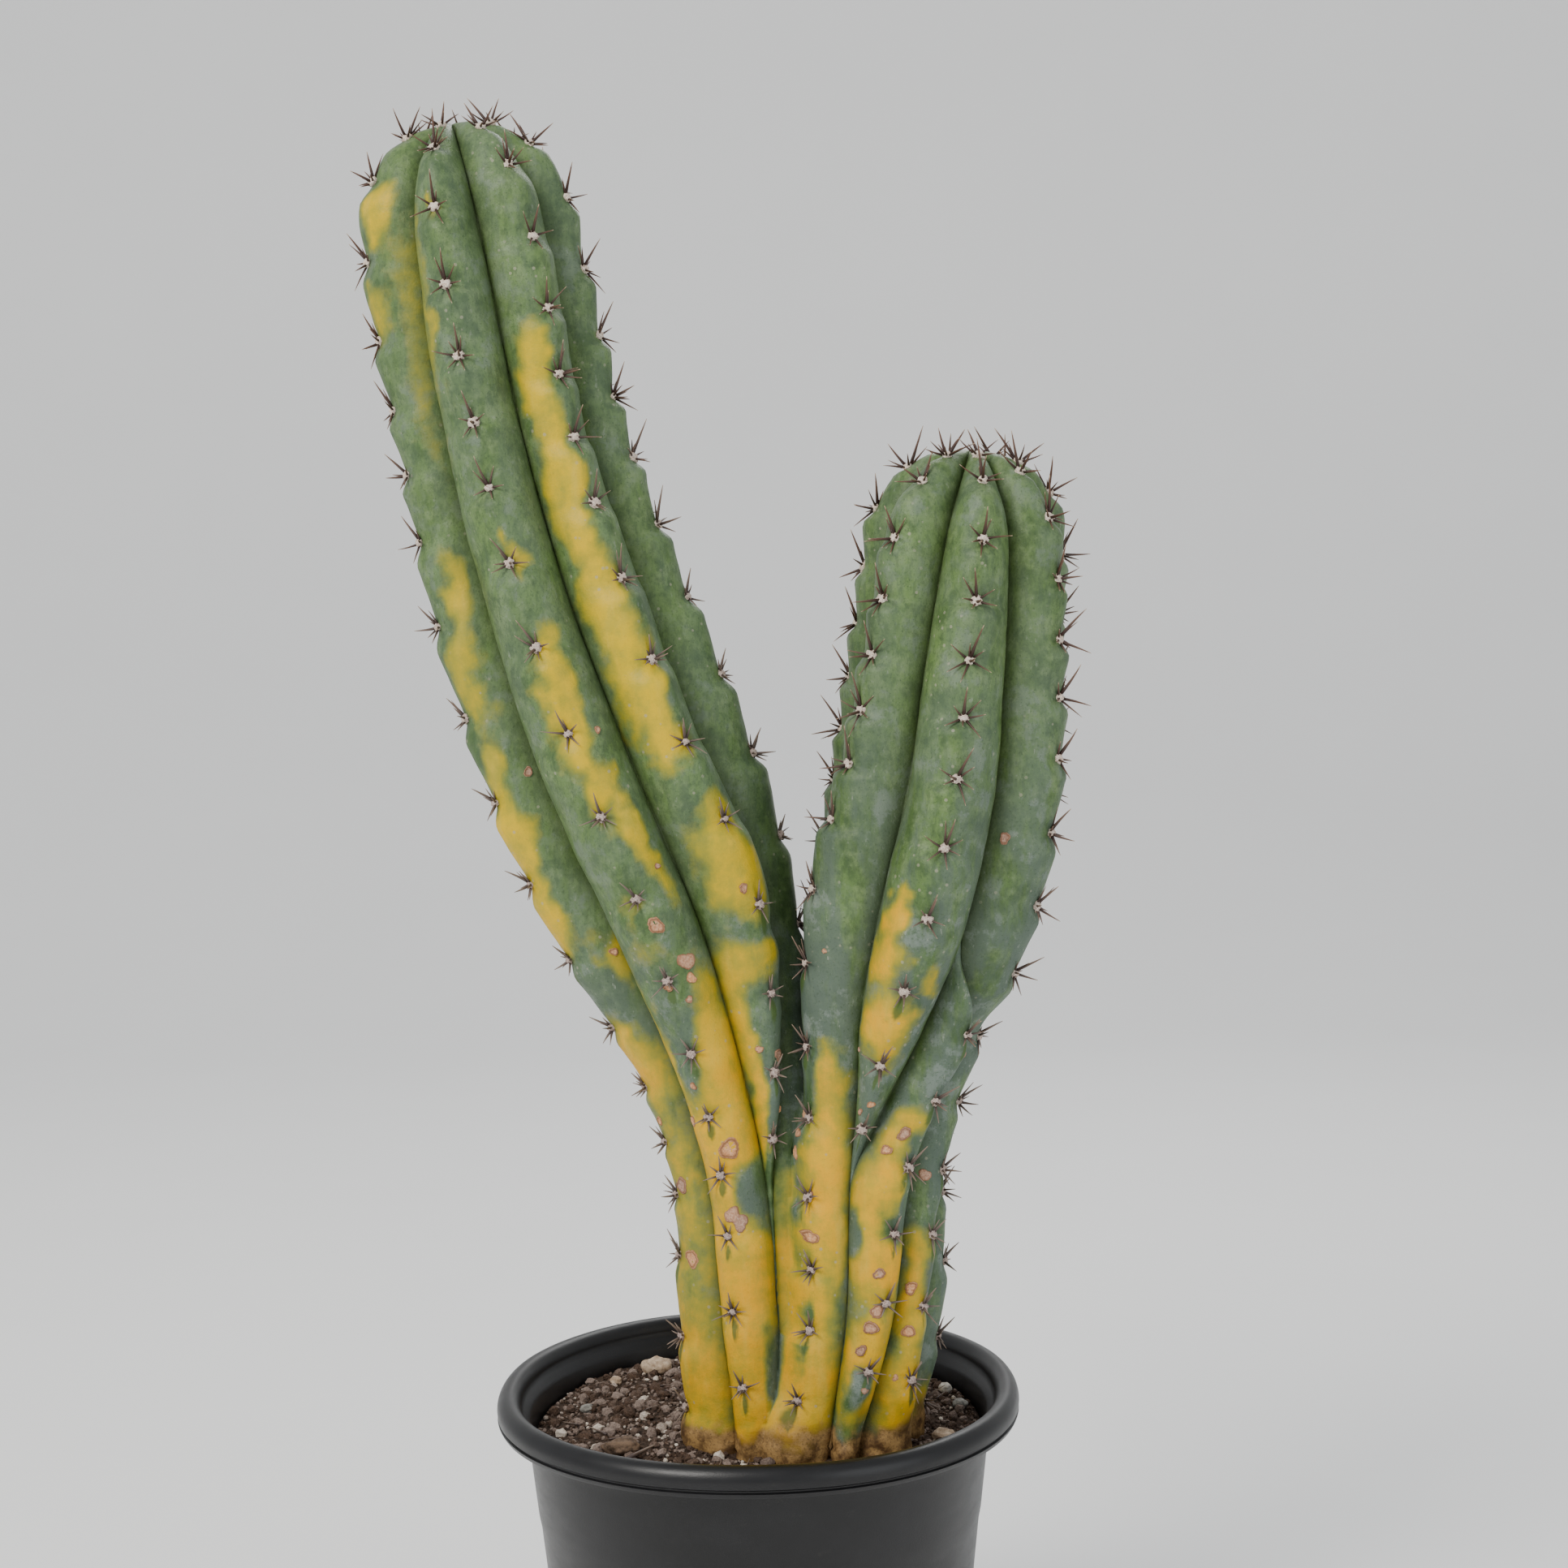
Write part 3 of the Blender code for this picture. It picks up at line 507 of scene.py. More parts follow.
class Finish:
    """A Principled material put together from a few procedural nodes."""

    def __init__(self, name, roughness, specular):
        self.material = bpy.data.materials.new(name)
        self.material.use_nodes = True
        self.tree = self.material.node_tree
        self.shader = self.tree.nodes["Principled BSDF"]
        self.shader.inputs["Roughness"].default_value = roughness
        self.shader.inputs["Specular IOR Level"].default_value = specular
        self.place = self.tree.nodes.new("ShaderNodeTexCoord").outputs["Object"]

    def put(self, socket, value):
        if isinstance(value, bpy.types.NodeSocket):
            self.tree.links.new(value, socket)
        elif isinstance(value, tuple) and len(value) == 3 and socket.type == "RGBA":
            socket.default_value = (*value, 1.0)
        else:
            socket.default_value = value

    def node(self, kind, output, inputs, **settings):
        """Add a node, fill its inputs and return the output asked for."""
        node = self.tree.nodes.new("ShaderNode" + kind)
        for name, value in settings.items():
            setattr(node, name, value)
        for socket, value in inputs.items():
            self.put(node.inputs[socket], value)
        return node.outputs[output]

    def noise(self, scale, detail, roughness, stretch=None):
        where = self.place
        if stretch:
            where = self.node("Mapping", "Vector", {"Vector": where, "Scale": stretch})
        inputs = {"Vector": where, "Scale": scale, "Detail": detail, "Roughness": roughness}
        return self.node("TexNoise", "Fac", inputs)

    def cells(self, scale):
        return self.node("TexVoronoi", "Distance", {"Vector": self.place, "Scale": scale})

    def value(self, name):
        """Number stored on the mesh under this name."""
        return self.node("Attribute", "Fac", {}, attribute_name=name)

    def math(self, operation, a, b):
        return self.node("Math", 0, {0: a, 1: b}, operation=operation)

    def times(self, a, b):
        return self.math("MULTIPLY", a, b)

    def span(self, value, low, high, falling=False):
        """Smooth step from 0 at low to 1 at high, or the other way round."""
        start, end = (1.0, 0.0) if falling else (0.0, 1.0)
        inputs = {"Value": value, "From Min": low, "From Max": high, "To Min": start, "To Max": end}
        return self.node("MapRange", "Result", inputs, interpolation_type="SMOOTHSTEP")

    def mix(self, share, a, b):
        return self.node("Mix", 2, {0: share, 6: a, 7: b}, data_type="RGBA")

    def blend(self, value, low, high, dark, light):
        """Dark below low, light above high, and a smooth step between."""
        return self.mix(self.span(value, low, high), dark, light)

    def tint(self, colour, *layers):
        """Colour with each layer's tone laid over it, where its mask is high."""
        for tone, strength, mask in layers:
            colour = self.mix(self.times(mask, strength), colour, tone)
        return colour

    def bump(self, height, distance, strength, before=None):
        inputs = {"Height": height, "Distance": distance, "Strength": strength}
        if before is not None:
            inputs["Normal"] = before
        return self.node("Bump", "Normal", inputs)

    def finish(self, colour, roughness=None, normal=None):
        for socket, value in (("Base Color", colour), ("Roughness", roughness), ("Normal", normal)):
            if value is not None:
                self.put(self.shader.inputs[socket], value)
        return self.material


def skin_finish():
    """Waxy green and yellow skin with grey bloom, specks, drips, painted shade and dirt in the creases,
    and a corky foot.
    """
    f = Finish("cactus_skin", 0.5, 0.22)
    broad = f.noise(26, 5, 0.6)
    cloud = f.noise(58, 6, 0.68)
    middle = f.noise(120, 6, 0.62)
    fine = f.noise(900, 3, 0.6)
    streak = f.noise(70, 5, 0.6, (1.0, 1.0, 0.22))
    fleck = f.noise(330, 5, 0.7, (1.0, 1.0, 0.45))
    bloom = f.value("bloom")
    powder = f.times(bloom, f.span(streak, 0.36, 0.57))
    frost = f.times(f.span(cloud, 0.53, 0.62), f.math("ADD", 0.2, powder))
    pale = f.times(f.span(fleck, 0.6, 0.72), f.math("ADD", 0.25, powder))
    green = f.tint(
        f.blend(broad, 0.3, 0.7, (0.05, 0.092, 0.026), (0.106, 0.18, 0.055)),
        ((0.16, 0.248, 0.085), 0.6, f.math("SUBTRACT", 1.0, bloom)),
        ((0.185, 0.255, 0.115), 0.55, f.span(middle, 0.44, 0.66)),
        ((0.038, 0.07, 0.028), 0.4, f.span(fleck, 0.4, 0.54, True)),
        ((0.036, 0.072, 0.026), 0.55, f.span(cloud, 0.38, 0.5, True)),
        ((0.104, 0.138, 0.118), 0.75, powder),
        ((0.185, 0.225, 0.195), 0.62, frost),
        ((0.31, 0.34, 0.28), 0.6, pale),
        ((0.028, 0.055, 0.022), 0.45, f.span(fine, 0.56, 0.7)))
    yellow = f.tint(
        f.mix(bloom, (0.52, 0.43, 0.0), (0.74, 0.36, 0.0)),
        ((0.62, 0.41, 0.01), 0.6, f.span(broad, 0.35, 0.65)),
        ((0.54, 0.42, 0.07), 0.6, f.span(streak, 0.5, 0.72)),
        ((0.4, 0.2, 0.015), 0.35, f.span(fine, 0.58, 0.72)),
        ((0.36, 0.31, 0.03), 0.5, f.span(cloud, 0.36, 0.52, True)))
    wander = f.math("ADD", f.times(middle, 0.75), f.times(streak, 0.6))
    edge = f.math("ADD", f.value("yellow"), f.math("SUBTRACT", wander, 0.675))
    dots = f.times(f.span(f.cells(170), 0.1, 0.17, True), f.span(broad, 0.48, 0.58))
    drip = f.times(f.value("drip"), f.span(streak, 0.34, 0.56))
    colour = f.tint(
        f.blend(edge, 0.52, 1.12, f.blend(edge, 0.22, 0.74, green, (0.25, 0.245, 0.03)), yellow),
        ((0.34, 0.33, 0.24), 0.55, dots),
        ((0.06, 0.105, 0.022), 0.85, f.span(drip, 0.22, 0.6)),
        # painted shade and dirt: darkens the skin towards each crease
        ((0.05, 0.07, 0.01), 0.5, f.value("crease")))
    cork = f.tint(
        f.blend(middle, 0.36, 0.62, (0.075, 0.036, 0.014), (0.34, 0.205, 0.075)),
        ((0.055, 0.03, 0.016), 0.5, f.span(fine, 0.5, 0.66)))
    collar = f.math("ADD", f.value("cork"), f.math("SUBTRACT", f.times(middle, 1.1), 0.55))
    rough = f.math("ADD", 0.4, f.times(powder, 0.2))
    normal = f.bump(fine, 0.0003, 0.6, f.bump(middle, 0.0008, 0.5))
    return f.finish(f.blend(collar, 0.2, 0.9, colour, cork), rough, normal)


def spine_finish():
    """Dark red-brown spines with paler tips; the old ones are grey."""
    f = Finish("spine_wood", 0.5, 0.4)
    grain = f.noise(1500, 3, 0.6)
    tip = f.value("tip")
    young = f.blend(tip, 0.1, 0.9, (0.03, 0.009, 0.005), (0.15, 0.07, 0.04))
    young = f.blend(tip, 0.86, 1.0, young, (0.55, 0.4, 0.26))
    old = f.blend(tip, 0.0, 0.9, (0.06, 0.04, 0.036), (0.26, 0.195, 0.15))
    colour = f.tint(f.mix(f.value("age"), young, old), ((0.03, 0.018, 0.014), 0.35, grain))
    return f.finish(colour, None, f.bump(grain, 0.0002, 0.5))


def wool_finish():
    """Short felt of the areoles: cream when young, pinkish grey when old."""
    f = Finish("areole_wool", 0.95, 0.15)
    felt = f.noise(1700, 5, 0.7)
    young = f.blend(felt, 0.35, 0.65, (0.56, 0.4, 0.3), (0.95, 0.88, 0.76))
    old = f.blend(felt, 0.35, 0.65, (0.28, 0.19, 0.165), (0.62, 0.51, 0.45))
    return f.finish(f.mix(f.value("age"), young, old), None, f.bump(felt, 0.0006, 0.9))


def cork_finish():
    """Orange tan or dull pinkish scar tissue with a darker rim."""
    f = Finish("cork_scar", 0.85, 0.2)
    grain = f.noise(1100, 5, 0.65)
    face = f.blend(grain, 0.3, 0.7, (0.56, 0.23, 0.08), (0.82, 0.47, 0.25))
    dull = f.blend(grain, 0.3, 0.7, (0.3, 0.165, 0.11), (0.54, 0.36, 0.27))
    colour = f.mix(f.value("rim"), f.mix(f.value("tone"), face, dull), (0.19, 0.085, 0.04))
    return f.finish(colour, None, f.bump(grain, 0.0005, 0.8))


def pot_finish():
    """Black moulded plastic with a faint grain, dust and scuffs."""
    f = Finish("pot_plastic", 0.3, 0.4)
    grain = f.noise(1400, 3, 0.6)
    scuff = f.noise(55, 6, 0.7, (1.0, 1.0, 3.0))
    base = f.blend(f.noise(18, 4, 0.6), 0.35, 0.7, (0.003, 0.003, 0.0035), (0.007, 0.007, 0.008))
    dust = f.times(f.span(scuff, 0.56, 0.8), f.span(grain, 0.4, 0.7))
    colour = f.tint(base, ((0.08, 0.07, 0.06), 0.3, dust))
    rough = f.math("ADD", 0.26, f.times(scuff, 0.22))
    return f.finish(colour, rough, f.bump(grain, 0.0002, 0.35))


def grain_finish():
    """Grit, perlite and peat crumbs: each grain has its own tone."""
    f = Finish("potting_mix_grains", 0.92, 0.2)
    speck = f.noise(1300, 4, 0.65)
    tone = f.value("tone")
    dark = f.blend(speck, 0.3, 0.7, (0.032, 0.019, 0.013), (0.115, 0.072, 0.05))
    mauve = f.blend(speck, 0.3, 0.7, (0.14, 0.102, 0.084), (0.3, 0.235, 0.2))
    pale = f.blend(speck, 0.3, 0.7, (0.44, 0.37, 0.3), (0.7, 0.64, 0.56))
    colour = f.blend(tone, 0.93, 0.97, f.blend(tone, 0.3, 0.85, dark, mauve), pale)
    return f.finish(colour, None, f.bump(speck, 0.0006, 0.8))


def soil_finish():
    """Dark moist peat between the grains."""
    f = Finish("potting_mix", 0.95, 0.15)
    crumb = f.noise(420, 6, 0.7)
    colour = f.blend(crumb, 0.3, 0.7, (0.018, 0.012, 0.009), (0.095, 0.062, 0.044))
    return f.finish(colour, None, f.bump(crumb, 0.002, 0.9))


def stone_finish(name, dark, light):
    """Weathered stone or bark in patches of two tones, with dark specks."""
    f = Finish(name, 0.8, 0.3)
    patch = f.noise(260, 6, 0.65)
    speck = f.noise(1500, 3, 0.6)
    specks = ((0.1, 0.075, 0.06), 0.5, f.span(speck, 0.58, 0.7))
    colour = f.tint(f.blend(patch, 0.35, 0.65, dark, light), specks)
    return f.finish(colour, None, f.bump(patch, 0.0012, 0.7))


def floor_finish():
    f = Finish("studio_floor", 0.85, 0.2)
    return f.finish(f.mix(f.noise(6, 4, 0.5), (0.91, 0.91, 0.9), (0.94, 0.94, 0.93)))


# --- areoles ---

BARREN_RIB_ANGLE = 16  # degrees; a rib narrower than this bears no areoles
OLD_DEPTH = 0.42  # an areole this far below the tip looks fully old


def areole_list(stem):
    """(point, outward, upward, age from 0 to 1) of every areole on a stem."""
    levels = np.asarray(stem["levels"])
    steps = np.arange(len(levels)) - TOP_LEVELS
    shifts = np.asarray(stem["shifts"])
    rib = np.repeat(np.arange(len(shifts)), len(steps))
    where = np.tile(steps, len(shifts)) + shifts[rib]
    z = np.interp(where, steps, levels)
    width = np.diff(crease_angles(stem, z))[np.arange(len(z)), rib]
    keep = (where >= steps[0]) & (where <= steps[-1]) & (width > BARREN_RIB_ANGLE)
    keep &= (z > SOIL_TOP + 0.016) & (z < stem["top"] - 0.003)
    z = z[keep]
    rib = rib[keep]
    crest = np.zeros_like(z)
    centre = surface(stem, z, rib, crest)
    upward, across = skin_steps(stem, z, rib, crest, 0.002, 0.05, False)
    outward = np.cross(across, upward)
    outward *= np.sign((outward * (centre - axis_points(stem, z))).sum(1))[:, None]
    age = ease((stem["top"] - 0.02 - z) / OLD_DEPTH)
    return [(Vector(c), Vector(o).normalized(), Vector(u).normalized(), float(a))
            for c, o, u, a in zip(centre, outward, upward, age)]


def frame_matrix(point, outward, upward):
    """Axes of an areole: across, up the rib and outward."""
    side = upward.cross(outward).normalized()
    level = outward.cross(side).normalized()
    turn = Matrix((side, level, outward)).transposed().to_4x4()
    return Matrix.Translation(point) @ turn


class Batch:
    """Many small shapes gathered into one mesh, with one number per vertex for each field."""

    def __init__(self, *fields):
        self.points = []
        self.faces = []
        self.fields = {name: [] for name in fields}

    def add(self, points, faces, **values):
        start = len(self.points)
        self.points.extend(points)
        self.faces.extend(tuple(start + k for k in face) for face in faces)
        for name, row in self.fields.items():
            given = values[name]
            row.extend(given if isinstance(given, list) else [given] * len(points))

    def build(self, name, finish, smooth=True):
        piece = mesh_object(name, self.points, self.faces, finish, smooth)
        for field, row in self.fields.items():
            set_values(piece, field, row)
        return piece


SPINE_SIDES = 6
SPINE_STEPS = 4
AREOLE_SEEDS = {"left": 11, "right": 23}


def add_spine(batch, start, direction, length, thickness, bend, age):
    """A tapering, slightly curved spine from start along direction."""
    side = direction.orthogonal().normalized()
    other = direction.cross(side)
    points = []
    tips = []
    for step in range(SPINE_STEPS + 1):
        share = step / SPINE_STEPS
        middle = start + direction * length * share + bend * length * share * share
        radius = thickness * (1.15 - share) ** 0.8
        for turn in turns(SPINE_SIDES):
            points.append(middle + (side * math.cos(turn) + other * math.sin(turn)) * radius)
            tips.append(share)
    faces = [tuple(reversed(range(SPINE_SIDES)))]
    for step in range(SPINE_STEPS):
        faces += ring_faces(step * SPINE_SIDES, (step + 1) * SPINE_SIDES, SPINE_SIDES)
    last = SPINE_STEPS * SPINE_SIDES
    points.append(start + direction * length * 1.03 + bend * length * 1.06)
    tips.append(1.0)
    for k in range(SPINE_SIDES):
        faces.append((last + k, last + (k + 1) % SPINE_SIDES, len(points) - 1))
    batch.add(points, faces, tip=tips, age=age)


def ball(detail):
    """Unit icosphere as points and faces."""
    shape = bmesh.new()
    bmesh.ops.create_icosphere(shape, subdivisions=detail, radius=1.0)
    points = [vert.co.copy() for vert in shape.verts]
    faces = [tuple(vert.index for vert in face.verts) for face in shape.faces]
    shape.free()
    return points, faces


BALLS = {detail: ball(detail) for detail in (1, 2, 3, 4)}


def add_pad(batch, matrix, chance, age):
    """A small lumpy cushion of wool."""
    points, faces = BALLS[3]
    seed = Vector((chance.uniform(0, 50), chance.uniform(0, 50), chance.uniform(0, 50)))
    wide = 0.0027 * chance.uniform(0.85, 1.15) * (1.0 - 0.15 * age)
    tall = wide * chance.uniform(0.8, 1.1)
    thick = 0.002
    made = []
    for spot in points:
        lump = 1 + 0.42 * noise.noise(spot * 2.6 + seed) + 0.18 * noise.noise(spot * 7 + seed)
        made.append(matrix @ Vector((spot.x * wide * lump, spot.y * tall * lump, spot.z * thick * lump)))
    batch.add(made, faces, age=age)


def add_spines(batch, matrix, chance, age):
    """One upright central spine or two, and a ring of thinner ones lying outward."""
    def shoot(lean, turn, length, thickness):
        tilt = Vector((math.cos(turn) * math.sin(lean), math.sin(turn) * math.sin(lean), math.cos(lean)))
        start = matrix @ (Vector((tilt.x, tilt.y, 0)) * 0.0016 + Vector((0, 0, 0.0002)))
        turned = matrix.to_3x3() @ tilt
        bend = Vector((chance.uniform(-1, 1), chance.uniform(-1, 1), chance.uniform(-1, 1))) * 0.09
        add_spine(batch, start, turned.normalized(), length, thickness, bend, age)

    centre_length = chance.uniform(0.014, 0.02) * (1.0 - 0.35 * age)
    shoot(math.radians(chance.uniform(35, 55)), math.radians(90 + chance.uniform(-18, 18)),
          centre_length, 0.00082)
    if chance.random() < 0.6:
        shoot(math.radians(chance.uniform(15, 45)), math.radians(chance.uniform(200, 340)),
              centre_length * 0.8, 0.00076)
    count = chance.randint(5, 7)
    start = chance.uniform(0, 2 * math.pi)
    for k in range(count):
        turn = start + 2 * math.pi * (k + chance.uniform(-0.25, 0.25)) / count
        length = chance.uniform(0.006, 0.013) * (1.0 - 0.25 * age)
        shoot(math.radians(chance.uniform(45, 80)), turn, length, 0.0006)


def build_areoles(side, stem, spine_material, wool_material):
    chance = random.Random(AREOLE_SEEDS[side])
    spines = Batch("tip", "age")
    wool = Batch("age")
    for point, outward, upward, age in areole_list(stem):
        outward = (outward + upward * 0.25).normalized()
        matrix = frame_matrix(point + outward * 0.0004, outward, upward)
        add_pad(wool, matrix, chance, age)
        add_spines(spines, matrix, chance, age)
    solids = sorted(name for name in frame["nodes"] if name.startswith(f"areole_{side}_"))
    place(spines.build(f"{side}_stem_spines", spine_material), "spine_wood", *solids)
    place(wool.build(f"{side}_stem_wool", wool_material), "areole_wool")


# --- scars ---

# Profile of each kind: share of the radius, height over the skin in mm, rim colour.
SCAR_PROFILES = {
    "ring": ((0.0, 0.2, 0.1), (0.3, 0.16, 0.0), (0.55, 0.22, 0.1), (0.74, 0.62, 0.9),
             (0.9, 0.55, 0.35), (1.0, -0.35, 1.0)),
    "patch": ((0.0, 0.55, 0.0), (0.4, 0.62, 0.0), (0.7, 0.55, 0.15), (0.88, 0.4, 0.6),
              (1.0, -0.35, 1.0)),
    "dot": ((0.0, 0.75, 0.0), (0.5, 0.65, 0.0), (0.8, 0.35, 0.5), (1.0, -0.35, 1.0)),
}
SCAR_SPOKES = 22


def add_scar(batch, stem, rib, height_mm, side_percent, radius_mm, kind, chance):
    """A raised corky ring, patch or dot that follows the skin."""
    height = height_mm / 1000
    side = side_percent / 100
    radius = radius_mm / 1000
    dz = 0.002
    ds = 0.04
    z = np.array([height])
    rise, run = skin_steps(stem, z, np.array([rib]), np.array([side]), dz, ds, True)
    z_per_m = 2 * dz / np.linalg.norm(rise)
    side_per_m = 2 * ds / np.linalg.norm(run)
    lean = chance.uniform(0, math.pi)
    outline = []
    for turn in turns(SCAR_SPOKES):
        wobble = 0.14 * math.cos(2 * (turn - lean)) + 0.1 * math.sin(3 * turn + lean * 5)
        outline.append(1 + wobble + chance.uniform(-0.1, 0.1))
    (_, *centre), *rings = SCAR_PROFILES[kind]
    rows = [(height, side, *centre)]
    for share, lift, rim in rings:
        for turn, stretch in zip(turns(SCAR_SPOKES), outline):
            reach = radius * share * stretch
            rough = 0.14 * chance.uniform(-1, 1) if lift > 0 else 0
            rows.append((height + math.sin(turn) * reach * z_per_m,
                         side + math.cos(turn) * reach * side_per_m, lift + rough, rim))
    heights, sides, lifts, rims = np.array(rows).T
    base = surface(stem, heights, np.full(len(heights), rib), np.clip(sides, -0.99, 0.99))
    normal = np.cross(run[0], rise[0])
    normal /= np.linalg.norm(normal)
    if normal @ (base[0] - axis_points(stem, z)[0]) < 0:
        normal = -normal
    points = base + normal * (lifts[:, None] / 1000)
    faces = [(0, 1 + k, 1 + (k + 1) % SCAR_SPOKES) for k in range(SCAR_SPOKES)]
    for ring in range(len(rings) - 1):
        low = 1 + ring * SCAR_SPOKES
        faces += ring_faces(low, low + SCAR_SPOKES, SCAR_SPOKES, True)
    batch.add([Vector(p) for p in points], faces, rim=list(rims), tone=chance.random())


def build_scars(material):
    chance = random.Random(5)
    batch = Batch("rim", "tone")
    for stem in STEMS.values():
        for scar in stem["scars"]:
            add_scar(batch, stem, *scar, chance)
    place(batch.build("cork_scars", material), "cork_scar")


# --- stems ---

def build_stems(material):
    stems = stem_mesh("cactus_skin", LEFT)
    mesh = combine(stems, stem_mesh("right_stem_guide", RIGHT), "UNION")
    mesh.materials.clear()
    mesh.materials.append(material)
    paint_skin(stems)
    roughen_skin(stems)
    place(stems, "cactus_skin", "cactus_stems")


# --- pot ---

POT_HEIGHT = 0.215
POT_WALL = 0.0018
RIM_OUTER = 0.13
RIM_INNER = 0.1182
THROAT = 0.1135
SKIRT_DEPTH = 0.014
FLOOR_RADIUS = 0.0925
FLOOR_TOP = 0.006
POT_SEGMENTS = 240
ROLL_STEPS = 18
SOFT_FROM = 0.19  # the wall gives and waves a little above this height
RIM_SAG = 0.0045  # the soft rim hangs a little lower at the front
DRAIN_HOLES = 8
DRAIN_CIRCLE = 0.056  # radius of the circle the drain holes lie on
DRAIN_RADIUS = 0.0075
DRAIN_SIDES = 24


def wall_radius(height):
    share = (height - FLOOR_TOP) / (POT_HEIGHT - SKIRT_DEPTH - FLOOR_TOP)
    return FLOOR_RADIUS + (THROAT - FLOOR_RADIUS) * share


def pot_outline():
    """Closed outline: up the inside, over the rolled rim, down the outside, across the foot."""
    neck = POT_HEIGHT - SKIRT_DEPTH
    reach = 0.5 * (RIM_OUTER - RIM_INNER)
    middle = 0.5 * (RIM_OUTER + RIM_INNER)
    rise = 0.0075
    base = POT_HEIGHT - rise
    skirt = RIM_OUTER - 0.0008
    outline = [(0.0, FLOOR_TOP), (0.05, FLOOR_TOP), (FLOOR_RADIUS - 0.004, FLOOR_TOP)]
    outline += [(FLOOR_RADIUS - 0.001, FLOOR_TOP + 0.001), (FLOOR_RADIUS, FLOOR_TOP + 0.004)]
    outline += [(wall_radius(z), z) for z in np.linspace(0.02, neck, 24)]
    outline += [(THROAT + 0.001, neck + 0.002), (THROAT + 0.0032, neck + 0.0045)]
    for step in range(ROLL_STEPS + 1):
        turn = math.pi * (1 - step / ROLL_STEPS)
        outline.append((middle + reach * math.cos(turn), base + rise * math.sin(turn)))
    groove = ((0.0002, 0.0022), (0.0013, 0.003), (0.0013, 0.0036), (0.0002, 0.0042))
    outline += [(RIM_OUTER - inward, base - below) for inward, below in groove]
    outline += [(skirt, neck + 0.0008), (skirt - 0.0005, neck), (skirt - POT_WALL, neck)]
    for step in range(ROLL_STEPS + 1):
        turn = math.pi * step / ROLL_STEPS
        outline.append((middle + (reach - POT_WALL) * math.cos(turn),
                        base + (rise - POT_WALL) * math.sin(turn)))
    for z in np.linspace(neck - 0.004, 0.012, 30):
        step_out = 0.0005 * (ease((z - 0.15) / 0.002) + ease((z - 0.06) / 0.002))
        outline.append((wall_radius(z) + POT_WALL + step_out - 0.0005, z))
    outline += [(FLOOR_RADIUS + 0.0012, 0.006), (FLOOR_RADIUS + 0.0002, 0.002)]
    outline += [(FLOOR_RADIUS - 0.0015, 0.0)]
    outline += [(0.078, 0.0), (0.0765, 0.001), (0.075, 0.003), (0.029, 0.003), (0.0275, 0.001)]
    outline += [(0.026, 0.0), (0.0, 0.0)]
    return outline


def turned(name, outline, segments, finish):
    """Spin a closed (radius, height) outline round the Z axis."""
    points = []
    rings = []
    for radius, height in outline:
        on_axis = radius < 1e-6
        ring = [(*polar(radius, turn), height) for turn in turns(segments)[:1 if on_axis else segments]]
        rings.append([len(points) + k for k in range(len(ring))])
        points += ring
    faces = []
    for lower, upper in zip(rings, rings[1:] + rings[:1]):
        for k in range(segments):
            after = (k + 1) % segments
            corners = [lower[k % len(lower)], lower[after % len(lower)],
                       upper[after % len(upper)], upper[k % len(upper)]]
            face = tuple(dict.fromkeys(corners))
            if len(face) > 2:
                faces.append(tuple(reversed(face)))
    return mesh_object(name, points, faces, finish)


def drain_cutter():
    """One upright rod for each drain hole in the floor."""
    points = []
    faces = []
    for index in range(DRAIN_HOLES):
        turn = 2 * math.pi * (index + 0.5) / DRAIN_HOLES
        middle = Vector((*polar(DRAIN_CIRCLE, turn), 0))
        start = len(points)
        upper = start + DRAIN_SIDES
        for z in (-0.01, 0.02):
            points += [middle + Vector((*polar(DRAIN_RADIUS, angle), z)) for angle in turns(DRAIN_SIDES)]
        faces.append(tuple(reversed(range(start, upper))))
        faces.append(tuple(range(upper, upper + DRAIN_SIDES)))
        faces += ring_faces(start, upper, DRAIN_SIDES)
    return mesh_object("drain_cutter", points, faces, None, False)


def build_pot(material):
    pot = turned("nursery_pot_shell", pot_outline(), POT_SEGMENTS, material)
    for vert in pot.data.vertices:
        if vert.co.z > SOFT_FROM:
            turn = math.atan2(vert.co.y, vert.co.x)
            give = 0.0004 * math.sin(3 * turn + 0.6) + 0.0002 * math.sin(7 * turn)
            vert.co.z += give * (vert.co.z - SOFT_FROM) / 0.025 - 0.0004
        sag = RIM_SAG * ease(0.5 - vert.co.y / 0.2) * ease((vert.co.z - 0.13) / 0.08)
        vert.co.z -= float(sag)
    mesh = combine(pot, drain_cutter(), "DIFFERENCE")
    mesh.set_sharp_from_angle(angle=math.radians(35))
    place(pot, "pot_plastic", "nursery_pot")


# --- potting mix ---

SOIL_EDGE = 0.1885  # height of the mix at the wall and in the middle, before it slopes
SOIL_MIDDLE = 0.1935
SOIL_GAP = 0.0004  # clearance between the mix and the wall
SOIL_RINGS = 70
SOIL_SEGMENTS = 220
SOIL_BOTTOM = 0.0064
GRAINS = 5200
BIG_GRAINS = 0.12  # share of the grains
SHED_SPINES = 26
STRAWS = ((-0.056, -0.04, 55, 0.024, 0.0011), (-0.08, -0.01, 130, 0.015, 0.0007))


def soil_height(x, y):
    """Surface of the mix: a low mound with hollows, lower in front and higher behind."""
    share = math.hypot(x, y) / wall_radius(SOIL_EDGE)
    base = SOIL_MIDDLE + (SOIL_EDGE - SOIL_MIDDLE) * share * share
    base -= 0.0015 + 0.0045 * float(ease((-y - 0.01) / 0.07))
    base += 0.0075 * float(ease((y + 0.02) / 0.12))
    spot = Vector((x, y, 0))
    return base + (0.0022 * noise.noise(spot * 22) + 0.0012 * noise.noise(spot * 75))


